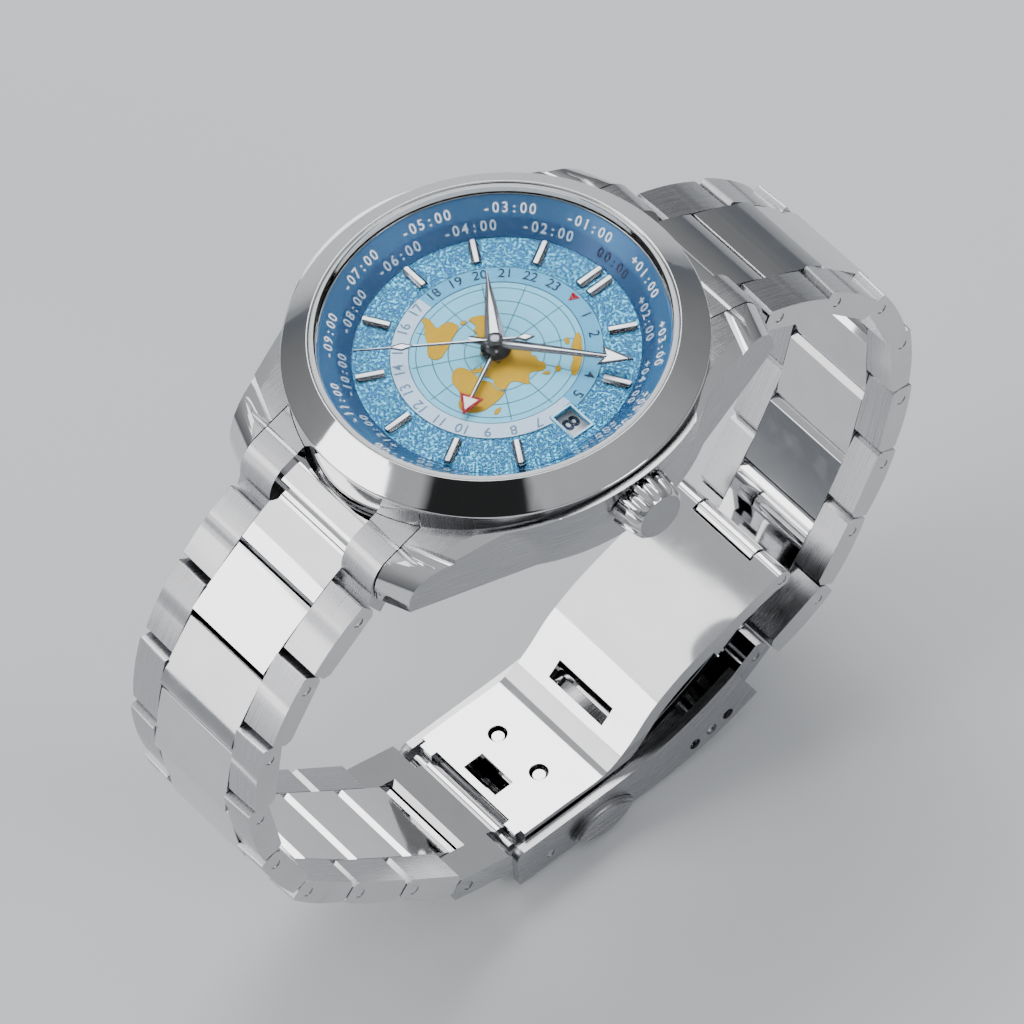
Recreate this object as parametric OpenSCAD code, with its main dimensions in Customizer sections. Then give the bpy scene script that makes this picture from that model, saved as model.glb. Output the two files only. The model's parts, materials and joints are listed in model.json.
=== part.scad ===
// Steel wristwatch with a second time zone hand, a world time flange and a folding clasp.
// The origin is the centre of the case back's outer face. +Z leaves the dial towards the
// viewer, +Y points to 12 o'clock and +X to the crown. The bracelet is closed and stands
// on the flat of its clasp cover.

/* [Case] */
// Width of the case on the crown line, crown left out
case_w = 42.8; // [41:0.1:45]
// Length over the lug noses, before their outer ends are bevelled
lug_to_lug = 48.8; // [48.4:0.1:49.4]
// Width between the lugs
lug_gap = 20; // [18:0.5:21]
// Height of the case band's top face above the back
band_top = 9.5; // [9:0.1:10.5]
// Height of the case band's lower face above the back
band_bottom = 1.5; // [1.2:0.1:2]
// Angle at which the lugs close in, seen from above
lug_angle = 18; // [16:0.5:20]
// How far the round flank leans in from the top of the band to its foot
flank_lean = 1.5; // [1:0.1:1.8]
// Radius of the arched top of the lugs seen from the side
arch_r = 66; // [60:1:80]
// Radius of the lugs' nose seen from the side
lug_nose_r = 4; // [3.8:0.1:4.2]
// Height of the nose's centre above the back
lug_nose_z = 2.1; // [2:0.1:2.3]
// Angle by which the polished lug bevel is turned, seen from above
bevel_turn = 21; // [19:0.5:23]
// How far the bevel's arch would stand above the band's top at the middle
bevel_rise = 1.15; // [1.05:0.05:1.3]
// Distance from the middle to the bevel's tip, along its turned direction
bevel_reach = 26.1; // [25.9:0.1:26.4]
// Radius of the case wall that the end links close on
shoulder_r = 20.4; // [20:0.1:20.8]
// Height of the spring bars above the back
spring_bar_z = 3.4; // [3.2:0.1:3.5]
// Radius of a lug spring bar
spring_bar_r = 0.8; // [0.6:0.05:0.9]

/* [Bezel and crystal] */
// Outer radius of the bezel
bezel_r = 20.65; // [20:0.05:21]
// Radius of the opening in the bezel
bezel_opening_r = 17.7; // [17.5:0.05:17.9]
// Height of the bezel's upper rim above the back
bezel_top = 12.3; // [12:0.1:13]
// Height of the bezel's outer edge above the band
bezel_lift = 0.25; // [0.15:0.05:0.4]
// Thickness of the bezel's outer edge
bezel_edge = 0.35; // [0.2:0.05:0.5]
// Thickness of the crystal at its edge
crystal_t = 1.5; // [1.2:0.1:1.8]
// Rise of the crystal's dome
crystal_dome = 0.45; // [0.2:0.05:0.7]
// Width of the crystal gasket's wall
crystal_gasket_t = 0.4; // [0.3:0.05:0.5]

/* [Dial] */
// Height of the dial's upper face above the back
dial_z = 8.4; // [8.3:0.05:8.6]
// Thickness of the dial
dial_t = 0.45; // [0.35:0.05:0.5]
// Radius of the dial disc under the flange
dial_r = 16.8; // [16:0.1:17]
// Radius of the dial that shows inside the flange
dial_open_r = 13.9; // [13.7:0.05:14.2]
// Radius where the hour batons begin
baton_in_r = 10.9; // [10.6:0.05:11.2]
// Radius where the hour batons end
baton_out_r = 13.7; // [13.4:0.05:13.8]
// Width of an hour baton
baton_w = 1; // [0.7:0.05:1.2]
// Height of an hour baton
baton_h = 0.45; // [0.3:0.05:0.6]
// Distance from the dial's centre to the middle of the date window
date_r = 11.2; // [11.1:0.05:11.3]
// Length of the date window along the crown line
date_l = 2.9; // [2.6:0.05:3]
// Height of the date window across the crown line
date_h = 2; // [1.7:0.05:2.1]

/* [Hands] */
// Length of the hour hand
hour_len = 8.7; // [8:0.1:9.5]
// Length of the minute hand
minute_len = 13.5; // [12.5:0.1:13.7]
// Length of the seconds hand
second_len = 13.6; // [12.5:0.1:13.7]
// Tail of the seconds hand
second_tail = 3.8; // [3:0.1:5]
// Length of the second time zone hand
gmt_len = 8.9; // [8:0.1:9.5]
// Minutes after ten o'clock that the hands show
shown_minutes = 8.67; // [0:0.01:59]
// Seconds that the seconds hand shows
shown_seconds = 36.3; // [0:0.1:59]
// Radius of the seconds arbor, the innermost of the four nested shafts
arbor_r = 0.3; // [0.25:0.01:0.35]
// Wall of each hollow shaft
pipe_wall = 0.26; // [0.2:0.01:0.3]
// Running clearance between nested shafts, on the radius
pipe_fit = 0.05; // [0.03:0.01:0.08]
// Thickness of a hand
hand_t = 0.2; // [0.15:0.01:0.25]

/* [Movement] */
// Radius of the movement's main plate
plate_r = 14.9; // [14:0.1:15]
// Thickness of the main plate
plate_t = 2.3; // [2:0.1:2.4]
// Thickness of the train bridge
bridge_t = 1.5; // [1.2:0.1:1.6]
// Radius of the winding rotor
rotor_r = 15.2; // [14:0.1:15.3]
// Thickness of the rotor's rim
rotor_rim_t = 1; // [0.8:0.05:1.05]
// Outer radius of the date ring
date_ring_r = 13.3; // [13:0.1:13.6]
// Inner radius of the date ring
date_ring_in_r = 9.4; // [9.2:0.1:9.6]

/* [Case back] */
// Radius of the case back
back_r = 17.6; // [17:0.1:18]
// Thickness of the case back's plate
back_t = 1.2; // [1:0.1:1.3]
// Outer radius of the case back's threaded neck
neck_r = 16.6; // [16.3:0.1:16.7]

/* [Crown] */
// Height of the crown's axis above the back
crown_z = 5.8; // [5.4:0.05:5.8]
// Radius of the crown at the case
crown_r = 3.35; // [2.8:0.05:3.4]
// How much smaller the crown's radius is at its outer rim
crown_taper = 0.45; // [0.3:0.05:0.6]
// Depth of the crown's recess below the widest part of the flank
crown_sink = 0.75; // [0.6:0.05:0.8]
// Length of the crown
crown_len = 3.1; // [2.8:0.1:3.6]
// Gap between the crown and the case
crown_gap = 0.15; // [0.1:0.05:0.3]
// Flutes round the crown
crown_flutes = 12; // [8:1:16]
// Radius of the stem
stem_r = 0.55; // [0.45:0.05:0.6]
// Outer radius of the crown tube
tube_r = 1.3; // [1.2:0.05:1.5]

/* [Bracelet] */
// Distance between the pins of one link
link_pitch = 8.45; // [8.35:0.05:8.6]
// Thickness of the links
link_t = 2.7; // [2.4:0.1:2.8]
// Width of the first link, next to the case
first_link_w = 19.9; // [19:0.1:19.9]
// Width of the links next to the clasp
last_link_w = 18.2; // [17:0.1:18.4]
// Links over which the width tapers
taper_links = 4; // [2:1:6]
// Width of the polished centre links
centre_w = 10.8; // [9.5:0.1:11.2]
// Length of an outer link past its pin, towards the case
outer_nose = 1.65; // [1.5:0.05:1.8]
// Length of a centre link past the pin that it hangs on
tongue_nose = 1.5; // [1.4:0.05:1.6]
// Gap between one link and the next
link_gap = 0.25; // [0.2:0.01:0.3]
// Seam between a centre link and the outer links beside it
seam = 0.06; // [0.04:0.01:0.1]
// Bevel on the links' inner corners
inner_bevel = 0.55; // [0.5:0.05:0.65]
// Bevel on the links' outer corners
outer_bevel = 0.2; // [0.1:0.05:0.25]
// Radius of a link pin
pin_r = 0.55; // [0.45:0.05:0.65]
// Running clearance round a pin, on the radius
pin_fit = 0.05; // [0.02:0.01:0.1]
// Distance from the dial's centre line to the first link pin
first_pin_y = 26.4; // [26.2:0.1:26.8]
// Height of the first link pin above the back
first_pin_z = -0.4; // [-0.8:0.1:0]
// Angle at which the end links point down
end_drop = 30; // [28:1:32]

/* [Clasp] */
// Length of the clasp cover
cover_l = 31.7; // [31.2:0.1:32.5]
// Width of the clasp cover
cover_w = 18.4; // [18.2:0.1:18.8]
// Height of the cover's walls at the six o'clock end
cover_h = 5.5; // [5.3:0.1:5.6]
// Wall of the cover
cover_wall = 1; // [0.8:0.05:1]
// Length of the cover's flat, from its six o'clock end
cover_flat = 17; // [16:0.1:18]
// Radius of the cover's curved end, on its outer face
cover_curve_r = 38; // [34:1:42]
// Rounding along the cover's lower edges
cover_round = 1.1; // [0.8:0.1:1.3]
// Distance from the cover's six o'clock end to its hinge
hinge_inset = 4.1; // [3.9:0.1:4.3]
// Height of the cover's hinge above its outer face
hinge_h = 2.3; // [2.2:0.05:2.5]
// Length of the link that joins the bracelet to the cover
entry_len = 8.4; // [8.2:0.1:8.6]
// Distance between the adjusting holes
adjust_pitch = 2.2; // [2:0.1:2.4]
// Distance from the cover's far end to the hole in use
adjust_inset = 6.4; // [6.2:0.1:6.8]
// Radius of the clasp's spring bar
clasp_bar_r = 0.6; // [0.5:0.05:0.7]
// Radius that the outer folding arm follows
arm_curve_r = 60; // [56:1:66]
// Length of the folding arms between their hinges
arm_len = 35.6; // [35:0.1:36]
// Angle at which the folding arms rise from the cover
arm_rise = 23.5; // [22.5:0.5:24.5]
// Thickness of a folding arm
arm_t = 1; // [0.8:0.05:1]
// Depth of the inner arm's turned-down edges
arm_edge = 1.8; // [1.6:0.1:1.9]
// Width of the inner folding arm
inner_arm_w = 16; // [15.6:0.1:16.1]
// Width of the outer folding arm
outer_arm_w = 13.6; // [12.6:0.1:13.8]
// Length of the link that joins the bracelet to the inner arm
exit_len = 7; // [6.7:0.1:7.3]
// Length of a push button
button_l = 7.8; // [7:0.1:8.2]
// Height of a push button
button_h = 3.7; // [3.3:0.1:3.9]
// How far a push button stands out
button_out = 0.9; // [0.7:0.05:1]
// Distance from the cover's six o'clock end to the middle of a button
button_inset = 10.6; // [10:0.1:11.2]

/* [Hidden] */
$fn = 72;
// Turn of each link of the twelve o'clock side from the piece before it
bend_12 = [1, 18, 25, 21, 15, 13, 4, 28];
// Turn of each link of the six o'clock side; the third and the sixth close the loop
bend_6_first = [6, 17];
bend_6_middle = [20, 16];
bend_6_last = [4, 1, 26];
// Turn of the entry link, which leans back a little
entry_bend = -7;
links = 8;
eps = 0.01;
fit = 0.05;
press = 0.01;

// Sizes that follow from the case
half_w = case_w / 2;
bevel_nose_z = lug_nose_z + 0.3;
foot_r = half_w - flank_lean;
bar_y = shoulder_r + spring_bar_r + 0.8;
bar_hole_depth = 1.3;
cavity_r = neck_r + 0.1;
ring_r = cavity_r - 0.5;
neck_top = band_bottom + 1.6;
dial_seat_z = dial_z - dial_t;
skirt_r = bezel_opening_r + 0.85;
skirt_z = dial_z;
bezel_foot = band_top + bezel_lift;

// Heights and radii of the crystal, its gasket and the flange
crystal_r = bezel_opening_r - crystal_gasket_t - fit;
ledge_r = bezel_opening_r - 0.75;
crystal_z = bezel_top - 0.95;
ledge_t = 0.75;
flange_top = crystal_z - 0.12;

// Heights of the movement
plate_top = dial_seat_z - 1;
plate_z = plate_top - plate_t;
bridge_z = plate_z - 0.05 - bridge_t;
date_ring_z = plate_top + 0.1;
date_ring_t = 0.25;
rotor_z = back_t + 0.45;

// Radii of the nested shafts, from the seconds arbor outwards
cannon_in_r = arbor_r + pipe_fit;
cannon_r = cannon_in_r + pipe_wall;
hour_in_r = cannon_r + pipe_fit;
hour_r = hour_in_r + pipe_wall;
gmt_in_r = hour_r + pipe_fit;
gmt_r = gmt_in_r + pipe_wall;
dial_hole_r = gmt_r + 0.1;
gmt_z = dial_z + 0.7;
hour_z = gmt_z + 0.42;
minute_z = hour_z + 0.42;
second_z = minute_z + 0.42;

// Angles of the hands, clockwise from 12 o'clock
minute_angle = shown_minutes * 6;
hour_angle = 300 + shown_minutes / 2;
gmt_angle = 150 + shown_minutes / 4;
second_angle = shown_seconds * 6;

// Crown line, from the case outwards
crown_seat_x = half_w - crown_sink;
crown_x = crown_seat_x + crown_gap;
tube_end_x = crown_x + 1.75;
tube_in_r = stem_r + 0.15;
gasket_x = crown_x + 0.15;
gasket_t = 0.4;
gasket_r = tube_r + 0.55;
crown_bore_r = gasket_r + fit;
stem_in_x = plate_r - 6;

// A unit step at drop angle a in the plane of the loop, as [y, z]
function step(a) = [cos(a), -sin(a)];
function total(v, n) = n <= 0 ? 0 : v[n - 1] + total(v, n - 1);
function drop_of(v) = atan2(-v[1], v[0]);
function span(v) = norm(v);

// Pins and angles of the twelve o'clock side
function angle_12(k) = end_drop + total(bend_12, k);
function pin_12(k) = k == 1 ? [first_pin_y, first_pin_z] : pin_12(k - 1) + link_pitch * step(angle_12(k - 1));
entry_angle = angle_12(links) + entry_bend;
entry_pin = pin_12(links + 1);
cover_bar = entry_pin + entry_len * step(entry_angle);

// The cover's own frame: zero at its six o'clock end on its outer face
function cover_rise(y) = y <= cover_flat ? 0
    : cover_curve_r - sqrt(cover_curve_r * cover_curve_r - (y - cover_flat) * (y - cover_flat));
adjust_h = 2.2;
adjust_y = cover_l - adjust_inset;
cover_y = cover_bar[0] - adjust_y;
cover_z = cover_bar[1] - cover_rise(adjust_y) - adjust_h;
cover_hinge = [cover_y + hinge_inset, cover_z + hinge_h];

// Folding arms: the outer one follows a circle from the cover's hinge to the hinge they share
arm_hinge = cover_hinge + arm_len * [cos(arm_rise), sin(arm_rise)];
half_turn = asin(arm_len / 2 / arm_curve_r);
arm_from = arm_rise - half_turn;
arm_to = arm_rise + half_turn;
arm_centre = cover_hinge + arm_curve_r * [-sin(arm_from), cos(arm_from)];
outer_arm_r = arm_curve_r + arm_t / 2;
knuckle_r = 1.1;
hinge_pin_r = 0.5;

// The inner arm's top runs level inside the cover, then climbs and bends to the hinge. Each
// point is a share of the way to the hinge, along and up.
inner_arm_bends = [
    [0, 0], [0.15, 0], [0.3, 0], [0.395, 0.15], [0.49, 0.41], [0.61, 0.62], [0.76, 0.79],
    [0.9, 0.92], [1, 1]
];
inner_arm_low = [2.1, cover_h + 0.9];
inner_arm_high = [
    arm_hinge[0] - cover_y, arm_hinge[1] - cover_z + knuckle_r
];

// The six o'clock side ends beside the inner arm, just inside the cover's end
exit_y = 0.7;
exit_h = cover_h - 0.7;
exit_barrel_r = 1.1;
exit_pin_r = 0.5;
exit_point = [-(cover_y + exit_y), cover_z + exit_h];

// Two rigid stretches of the six o'clock side are turned until they meet that point
function path(bends, n, first) = n <= 0 ? [0, 0]
    : path(bends, n - 1, first) + link_pitch * step(first + total(bends, n - 1));
angle_6_2 = end_drop + total(bend_6_first, 2);
pin_6_3 = [first_pin_y, first_pin_z] + link_pitch * (step(end_drop + bend_6_first[0]) + step(angle_6_2));
middle_run = path(bend_6_middle, 3, 0);
last_run = path(bend_6_last, 3, 0) + exit_len * step(total(bend_6_last, 3));
to_exit = exit_point - pin_6_3;
turn_middle = acos((span(middle_run) ^ 2 + span(to_exit) ^ 2 - span(last_run) ^ 2)
    / (2 * span(middle_run) * span(to_exit)));
turn_last = acos((span(last_run) ^ 2 + span(to_exit) ^ 2 - span(middle_run) ^ 2)
    / (2 * span(last_run) * span(to_exit)));
angle_6_3 = drop_of(to_exit) - turn_middle - drop_of(middle_run);
angle_6_6 = drop_of(to_exit) + turn_last - drop_of(last_run);
angles_6 = [
    end_drop + bend_6_first[0], angle_6_2, angle_6_3, angle_6_3 + bend_6_middle[0],
    angle_6_3 + total(bend_6_middle, 2), angle_6_6, angle_6_6 + bend_6_last[0],
    angle_6_6 + total(bend_6_last, 2), angle_6_6 + total(bend_6_last, 3)
];
function pin_6(k) = k == 1 ? [first_pin_y, first_pin_z] : pin_6(k - 1) + link_pitch * step(angles_6[k - 2]);

taper_step = (first_link_w - last_link_w) / (taper_links - 1);
function link_w(k) = max(last_link_w, first_link_w - (k - 1) * taper_step);

// Draws a side view, given as (y, z), through a width centred on x = 0
module across(width) {
    rotate([90, 0, 90]) linear_extrude(height = width, center = true) children();
}

// Draws a side view between two distances on both sides of x = 0
module both_sides(from_x, to_x) {
    for (side = [-1, 1]) {
        translate([side * (from_x + to_x) / 2, 0, 0]) across(to_x - from_x) children();
    }
}

// Puts a link's own frame, with y along the link and z away from the wrist, at its pin
module at_link(pin, angle) {
    translate([0, pin[0], pin[1]]) rotate([-angle, 0, 0]) children();
}

module ring(outer, inner, height) {
    difference() {
        cylinder(r = outer, h = height);
        translate([0, 0, -eps]) cylinder(r = inner, h = height + 2 * eps);
    }
}

module x_rod(radius, from_x, to_x) {
    translate([from_x, 0, 0]) rotate([0, 90, 0]) cylinder(r = radius, h = to_x - from_x);
}

// Side view of an arched top that ends in a round nose above an upright face
module arch_view(top, reach, nose_z, nose_r) {
    nose_y = reach - nose_r;
    intersection() {
        union() {
            translate([-nose_y, band_bottom - 1]) square([2 * nose_y, top + 1 - band_bottom]);
            for (side = [-1, 1]) {
                translate([side * nose_y, nose_z]) circle(r = nose_r);
            }
            translate([-reach, band_bottom - 1]) square([2 * reach, nose_z + 1 - band_bottom]);
        }
        translate([0, top - arch_r]) circle(r = arch_r, $fn = 360);
    }
}

// Case middle: a round leaning body, and lugs that leave it along tangents of its foot
module lug_outline() {
    root = foot_r * [cos(lug_angle), sin(lug_angle)];
    end_y = lug_to_lug / 2 + 1;
    end_x = (foot_r - end_y * sin(lug_angle)) / cos(lug_angle);
    polygon([
        [root.x, root.y], [end_x, end_y], [-end_x, end_y], [-root.x, root.y],
        [-root.x, -root.y], [-end_x, -end_y], [end_x, -end_y], [root.x, -root.y]
    ]);
}

// The turned arch bevels two lugs that lie across the case from each other
module lug_bevel(turn) {
    rotate([0, 0, turn]) across(2 * case_w)
        arch_view(band_top + bevel_rise, bevel_reach, bevel_nose_z, lug_nose_r);
}

module case_blank() {
    depth = band_top - band_bottom;
    intersection() {
        union() {
            translate([0, 0, band_bottom]) cylinder(r1 = foot_r, r2 = half_w, h = depth, $fn = 180);
            translate([0, 0, band_bottom]) linear_extrude(height = depth) lug_outline();
        }
        across(2 * case_w) arch_view(band_top, lug_to_lug / 2, lug_nose_z, lug_nose_r);
        lug_bevel(bevel_turn);
        lug_bevel(-bevel_turn);
    }
    translate([0, 0, band_bottom]) cylinder(r = shoulder_r, h = depth);
}

module lug_slots() {
    difference() {
        translate([-lug_gap / 2, -lug_to_lug, band_bottom - 1])
            cube([lug_gap, 2 * lug_to_lug, band_top - band_bottom + 2]);
        translate([0, 0, band_bottom - 2]) cylinder(r = shoulder_r, h = band_top - band_bottom + 4);
    }
}

module case_middle() {
    color("silver") difference() {
        case_blank();
        lug_slots();
        translate([0, 0, band_bottom - 1]) cylinder(r = neck_r + fit, h = neck_top + fit - band_bottom + 1);
        cylinder(r = cavity_r - 0.4, h = band_top + 1);
        translate([0, 0, dial_seat_z]) cylinder(r = dial_r + 0.1, h = band_top);
        translate([0, 0, skirt_z]) cylinder(r = skirt_r + fit, h = band_top);
        translate([0, 0, band_bottom - eps]) ring(back_r - 0.15, back_r - 0.65, 0.35);
        translate([0, 0, crown_z]) {
            x_rod(tube_r + press, 0, case_w);
            x_rod(crown_r + 0.15, crown_seat_x, case_w);
        }
        for (side = [-1, 1]) {
            translate([0, side * bar_y, spring_bar_z])
                x_rod(spring_bar_r + fit, -lug_gap / 2 - bar_hole_depth, lug_gap / 2 + bar_hole_depth);
        }
    }
}

module bezel() {
    color("gainsboro") rotate_extrude() {
        polygon([
            [bezel_opening_r, skirt_z], [skirt_r, skirt_z], [skirt_r, bezel_foot],
            [bezel_r, bezel_foot], [bezel_r, bezel_foot + bezel_edge],
            [bezel_r - 0.15, bezel_foot + bezel_edge + 0.12],
            [bezel_opening_r + 0.25, bezel_top], [bezel_opening_r, bezel_top - 0.15],
            [bezel_opening_r, crystal_z], [ledge_r, crystal_z], [ledge_r, crystal_z - ledge_t],
            [bezel_opening_r, crystal_z - ledge_t]
        ]);
    }
}

// Height of the crystal's dome over its edge at a distance from the centre
function dome(r) = crystal_dome * (1 - r * r / (crystal_r * crystal_r));

module crystal() {
    rings = 8;
    bevel = 0.35;
    top_r = crystal_r - bevel;
    edge_top = crystal_z + crystal_t;
    color("azure", 0.4) rotate_extrude() polygon(concat(
        [[0, crystal_z], [crystal_r, crystal_z], [crystal_r, edge_top - bevel]],
        [for (i = [0 : rings]) [top_r * (1 - i / rings), edge_top + dome(top_r * (1 - i / rings))]]
    ));
}

module crystal_gasket() {
    color("white") translate([0, 0, crystal_z]) ring(bezel_opening_r - press, crystal_r + press, 0.75);
}

// World time flange: the sloped ring between the dial and the crystal
module flange_ring() {
    color("steelblue") rotate_extrude() polygon([
        [dial_open_r, dial_z], [dial_open_r, dial_z + 0.12], [ledge_r - 0.15, flange_top],
        [ledge_r - fit, flange_top], [ledge_r - fit, crystal_z - ledge_t - 0.05],
        [bezel_opening_r - fit, crystal_z - ledge_t - 0.05], [bezel_opening_r - fit, dial_z]
    ]);
}

module dial() {
    color("lightskyblue") translate([0, 0, dial_seat_z]) difference() {
        cylinder(r = dial_r, h = dial_t);
        translate([0, 0, -eps]) cylinder(r = dial_hole_r, h = dial_t + 1);
        translate([date_r - date_l / 2, -date_h / 2, -eps]) cube([date_l, date_h, dial_t + 1]);
    }
}

// One hour baton along +y: a faceted bar with a round outer end
module baton(width) {
    length = baton_out_r - baton_in_r;
    translate([0, baton_in_r, dial_z]) intersection() {
        union() {
            translate([-width / 2, 0, 0]) cube([width, length - width / 2, baton_h]);
            translate([0, length - width / 2, 0]) cylinder(r = width / 2, h = baton_h);
        }
        rotate([-90, 0, 0]) linear_extrude(height = length)
            polygon([[-width / 2, 0], [-width / 2, -baton_h / 2], [-width / 5, -baton_h],
                [width / 5, -baton_h], [width / 2, -baton_h / 2], [width / 2, 0]]);
    }
}

module hour_batons() {
    color("whitesmoke") for (hour = [1, 2, 4, 5, 6, 7, 8, 9, 10, 11]) {
        rotate([0, 0, -30 * hour]) baton(baton_w);
    }
    color("whitesmoke") for (side = [-1, 1]) {
        translate([side * baton_w * 0.75, 0, 0]) baton(baton_w);
    }
}

// Raised rim round the date window
module date_frame() {
    rim = 0.3;
    frame_h = 0.15;
    color("lightskyblue") difference() {
        translate([date_r - date_l / 2 - rim, -date_h / 2 - rim, dial_z])
            cube([date_l + 2 * rim, date_h + 2 * rim, frame_h]);
        translate([date_r - date_l / 2 - fit, -date_h / 2 - fit, dial_z - eps])
            cube([date_l + 2 * fit, date_h + 2 * fit, 1]);
    }
}

module main_plate() {
    color("goldenrod") translate([0, 0, plate_z]) difference() {
        cylinder(r = plate_r, h = plate_t);
        translate([0, 0, 0.4]) cylinder(r = arbor_r + pipe_fit, h = plate_t);
        translate([0, 0, crown_z - plate_z]) x_rod(stem_r + fit, stem_in_x - 0.3, plate_r + 1);
    }
}

module train_bridge() {
    color("silver") translate([0, 0, bridge_z]) difference() {
        cylinder(r = plate_r, h = bridge_t);
        translate([0, 0, -eps]) cylinder(r = 1.6 + press, h = 0.5);
        for (turn = [0 : 120 : 240]) {
            rotate([0, 0, turn + 30]) translate([plate_r * 0.72, 0, -eps]) cylinder(r = 1, h = 0.5);
        }
    }
}

module movement_ring() {
    color("lightgray") difference() {
        translate([0, 0, neck_top]) ring(ring_r, plate_r + press, dial_seat_z - neck_top);
        translate([0, 0, crown_z]) x_rod(tube_in_r, plate_r - 1, ring_r + 1);
    }
}

module rotor_bearing() {
    color("gold") translate([0, 0, rotor_z]) {
        cylinder(r = 0.8, h = bridge_z - rotor_z + 0.3);
        translate([0, 0, rotor_rim_t + 0.1]) cylinder(r = 1.6, h = bridge_z - rotor_z - rotor_rim_t + 0.35);
    }
}

// Winding rotor: a thin web that carries a heavy half rim
module rotor() {
    web_t = rotor_rim_t * 0.4;
    color("silver") translate([0, 0, rotor_z]) difference() {
        union() {
            intersection() {
                union() {
                    translate([0, 0, rotor_rim_t - web_t]) cylinder(r = rotor_r, h = web_t);
                    ring(rotor_r, rotor_r - 3, rotor_rim_t);
                }
                translate([-rotor_r, -rotor_r, 0]) cube([2 * rotor_r, rotor_r, rotor_rim_t]);
            }
            cylinder(r = 2.4, h = rotor_rim_t);
        }
        translate([0, 0, -eps]) cylinder(r = 0.8 + fit, h = rotor_rim_t + 1);
        for (turn = [-1, 1]) {
            rotate([0, 0, turn * 32]) translate([0, -rotor_r * 0.5, -eps])
                cylinder(r = 2.2, h = rotor_rim_t + 1);
        }
    }
}

module case_back() {
    notch_w = 2.4;
    color("silver") difference() {
        union() {
            cylinder(r1 = back_r - 0.5, r2 = back_r, h = 0.5);
            translate([0, 0, 0.5]) cylinder(r = back_r, h = band_bottom - fit - 0.5);
            translate([0, 0, back_t - eps]) cylinder(r = neck_r, h = neck_top - back_t);
        }
        translate([0, 0, back_t]) cylinder(r = neck_r - 0.8, h = neck_top);
        for (turn = [0 : 60 : 300]) {
            rotate([0, 0, turn]) translate([back_r - 1.4, -notch_w / 2, -eps]) cube([3, notch_w, 0.7]);
        }
    }
}

module back_gasket() {
    color("dimgray") translate([0, 0, band_bottom - fit + press])
        ring(back_r - 0.2, back_r - 0.6, 0.32);
}

module crown_tube() {
    color("silver") translate([0, 0, crown_z]) difference() {
        x_rod(tube_r, cavity_r - 0.3, tube_end_x);
        x_rod(tube_in_r, cavity_r - 1, tube_end_x + 1);
    }
}

module crown_gasket() {
    color("black") translate([0, 0, crown_z]) difference() {
        x_rod(gasket_r, gasket_x, gasket_x + gasket_t);
        x_rod(tube_r + 0.04, gasket_x - 1, gasket_x + gasket_t + 1);
    }
}

// Fluted crown that narrows a little towards its outer rim
module crown() {
    cap_t = crown_len - 2.3;
    bevel = 0.45;
    side_len = crown_len - bevel;
    rim_r = crown_r - crown_taper;
    flute_r = 0.6;
    color("gainsboro") translate([crown_x, 0, crown_z]) rotate([0, 90, 0]) difference() {
        union() {
            cylinder(r1 = crown_r, r2 = rim_r, h = side_len);
            translate([0, 0, side_len]) cylinder(r1 = rim_r, r2 = rim_r - bevel, h = bevel);
        }
        for (flute = [0 : crown_flutes - 1]) {
            rotate([0, 0, flute * 360 / crown_flutes]) translate([crown_r + 0.25, 0, 0])
                rotate([0, -atan(crown_taper / side_len), 0])
                    translate([0, 0, -1]) cylinder(r = flute_r, h = crown_len + 2);
        }
        translate([0, 0, -eps]) cylinder(r = crown_bore_r, h = crown_len - cap_t);
        cylinder(r = stem_r + press, h = crown_len - 0.5);
    }
}

module stem() {
    color("silver") translate([0, 0, crown_z]) {
        x_rod(stem_r, stem_in_x, crown_x + crown_len - 0.55);
        x_rod(tube_in_r - fit, crown_x - 3.4, crown_x - 2.2);
    }
}

// Hands: each outline is drawn along +y and turned to its time
module at_time(angle) {
    rotate([0, 0, -angle]) children();
}

// A flat hand with a round hub, bored for its shaft
module hand_blank(z, hub_r, bore_r) {
    color("silver") translate([0, 0, z]) difference() {
        union() {
            linear_extrude(height = hand_t) children();
            cylinder(r = hub_r, h = hand_t);
        }
        translate([0, 0, -eps]) cylinder(r = bore_r, h = hand_t + 2 * eps);
    }
}

module hour_hand() {
    at_time(hour_angle) hand_blank(hour_z, hour_r + 0.3, hour_in_r) polygon([
        [-0.85, 0.6], [-0.68, hour_len * 0.52], [-0.4, hour_len - 0.8], [0, hour_len],
        [0.4, hour_len - 0.8], [0.68, hour_len * 0.52], [0.85, 0.6]
    ]);
}

module hour_wheel() {
    color("goldenrod") {
        translate([0, 0, plate_top + 0.42]) ring(4.2, hour_in_r, 0.15);
        translate([0, 0, plate_top + 0.42]) ring(hour_r, hour_in_r, hour_z - plate_top - 0.42);
    }
}

module minute_hand() {
    head = 3.2;
    head_w = 2.2;
    tail = 2.6;
    at_time(minute_angle) hand_blank(minute_z, cannon_r + 0.3, cannon_in_r) polygon([
        [-0.3, 0], [-0.55, 1.4], [-0.42, minute_len - head + 0.6], [-head_w / 2, minute_len - head],
        [0, minute_len], [head_w / 2, minute_len - head], [0.42, minute_len - head + 0.6],
        [0.55, 1.4], [0.3, 0], [0.42, -tail], [-0.42, -tail]
    ]);
}

module cannon_pinion() {
    color("goldenrod") {
        translate([0, 0, plate_top + 0.08]) ring(1.25, cannon_in_r, 0.28);
        translate([0, 0, plate_top + 0.08]) ring(cannon_r, cannon_in_r, minute_z - plate_top - 0.08);
    }
}

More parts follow.
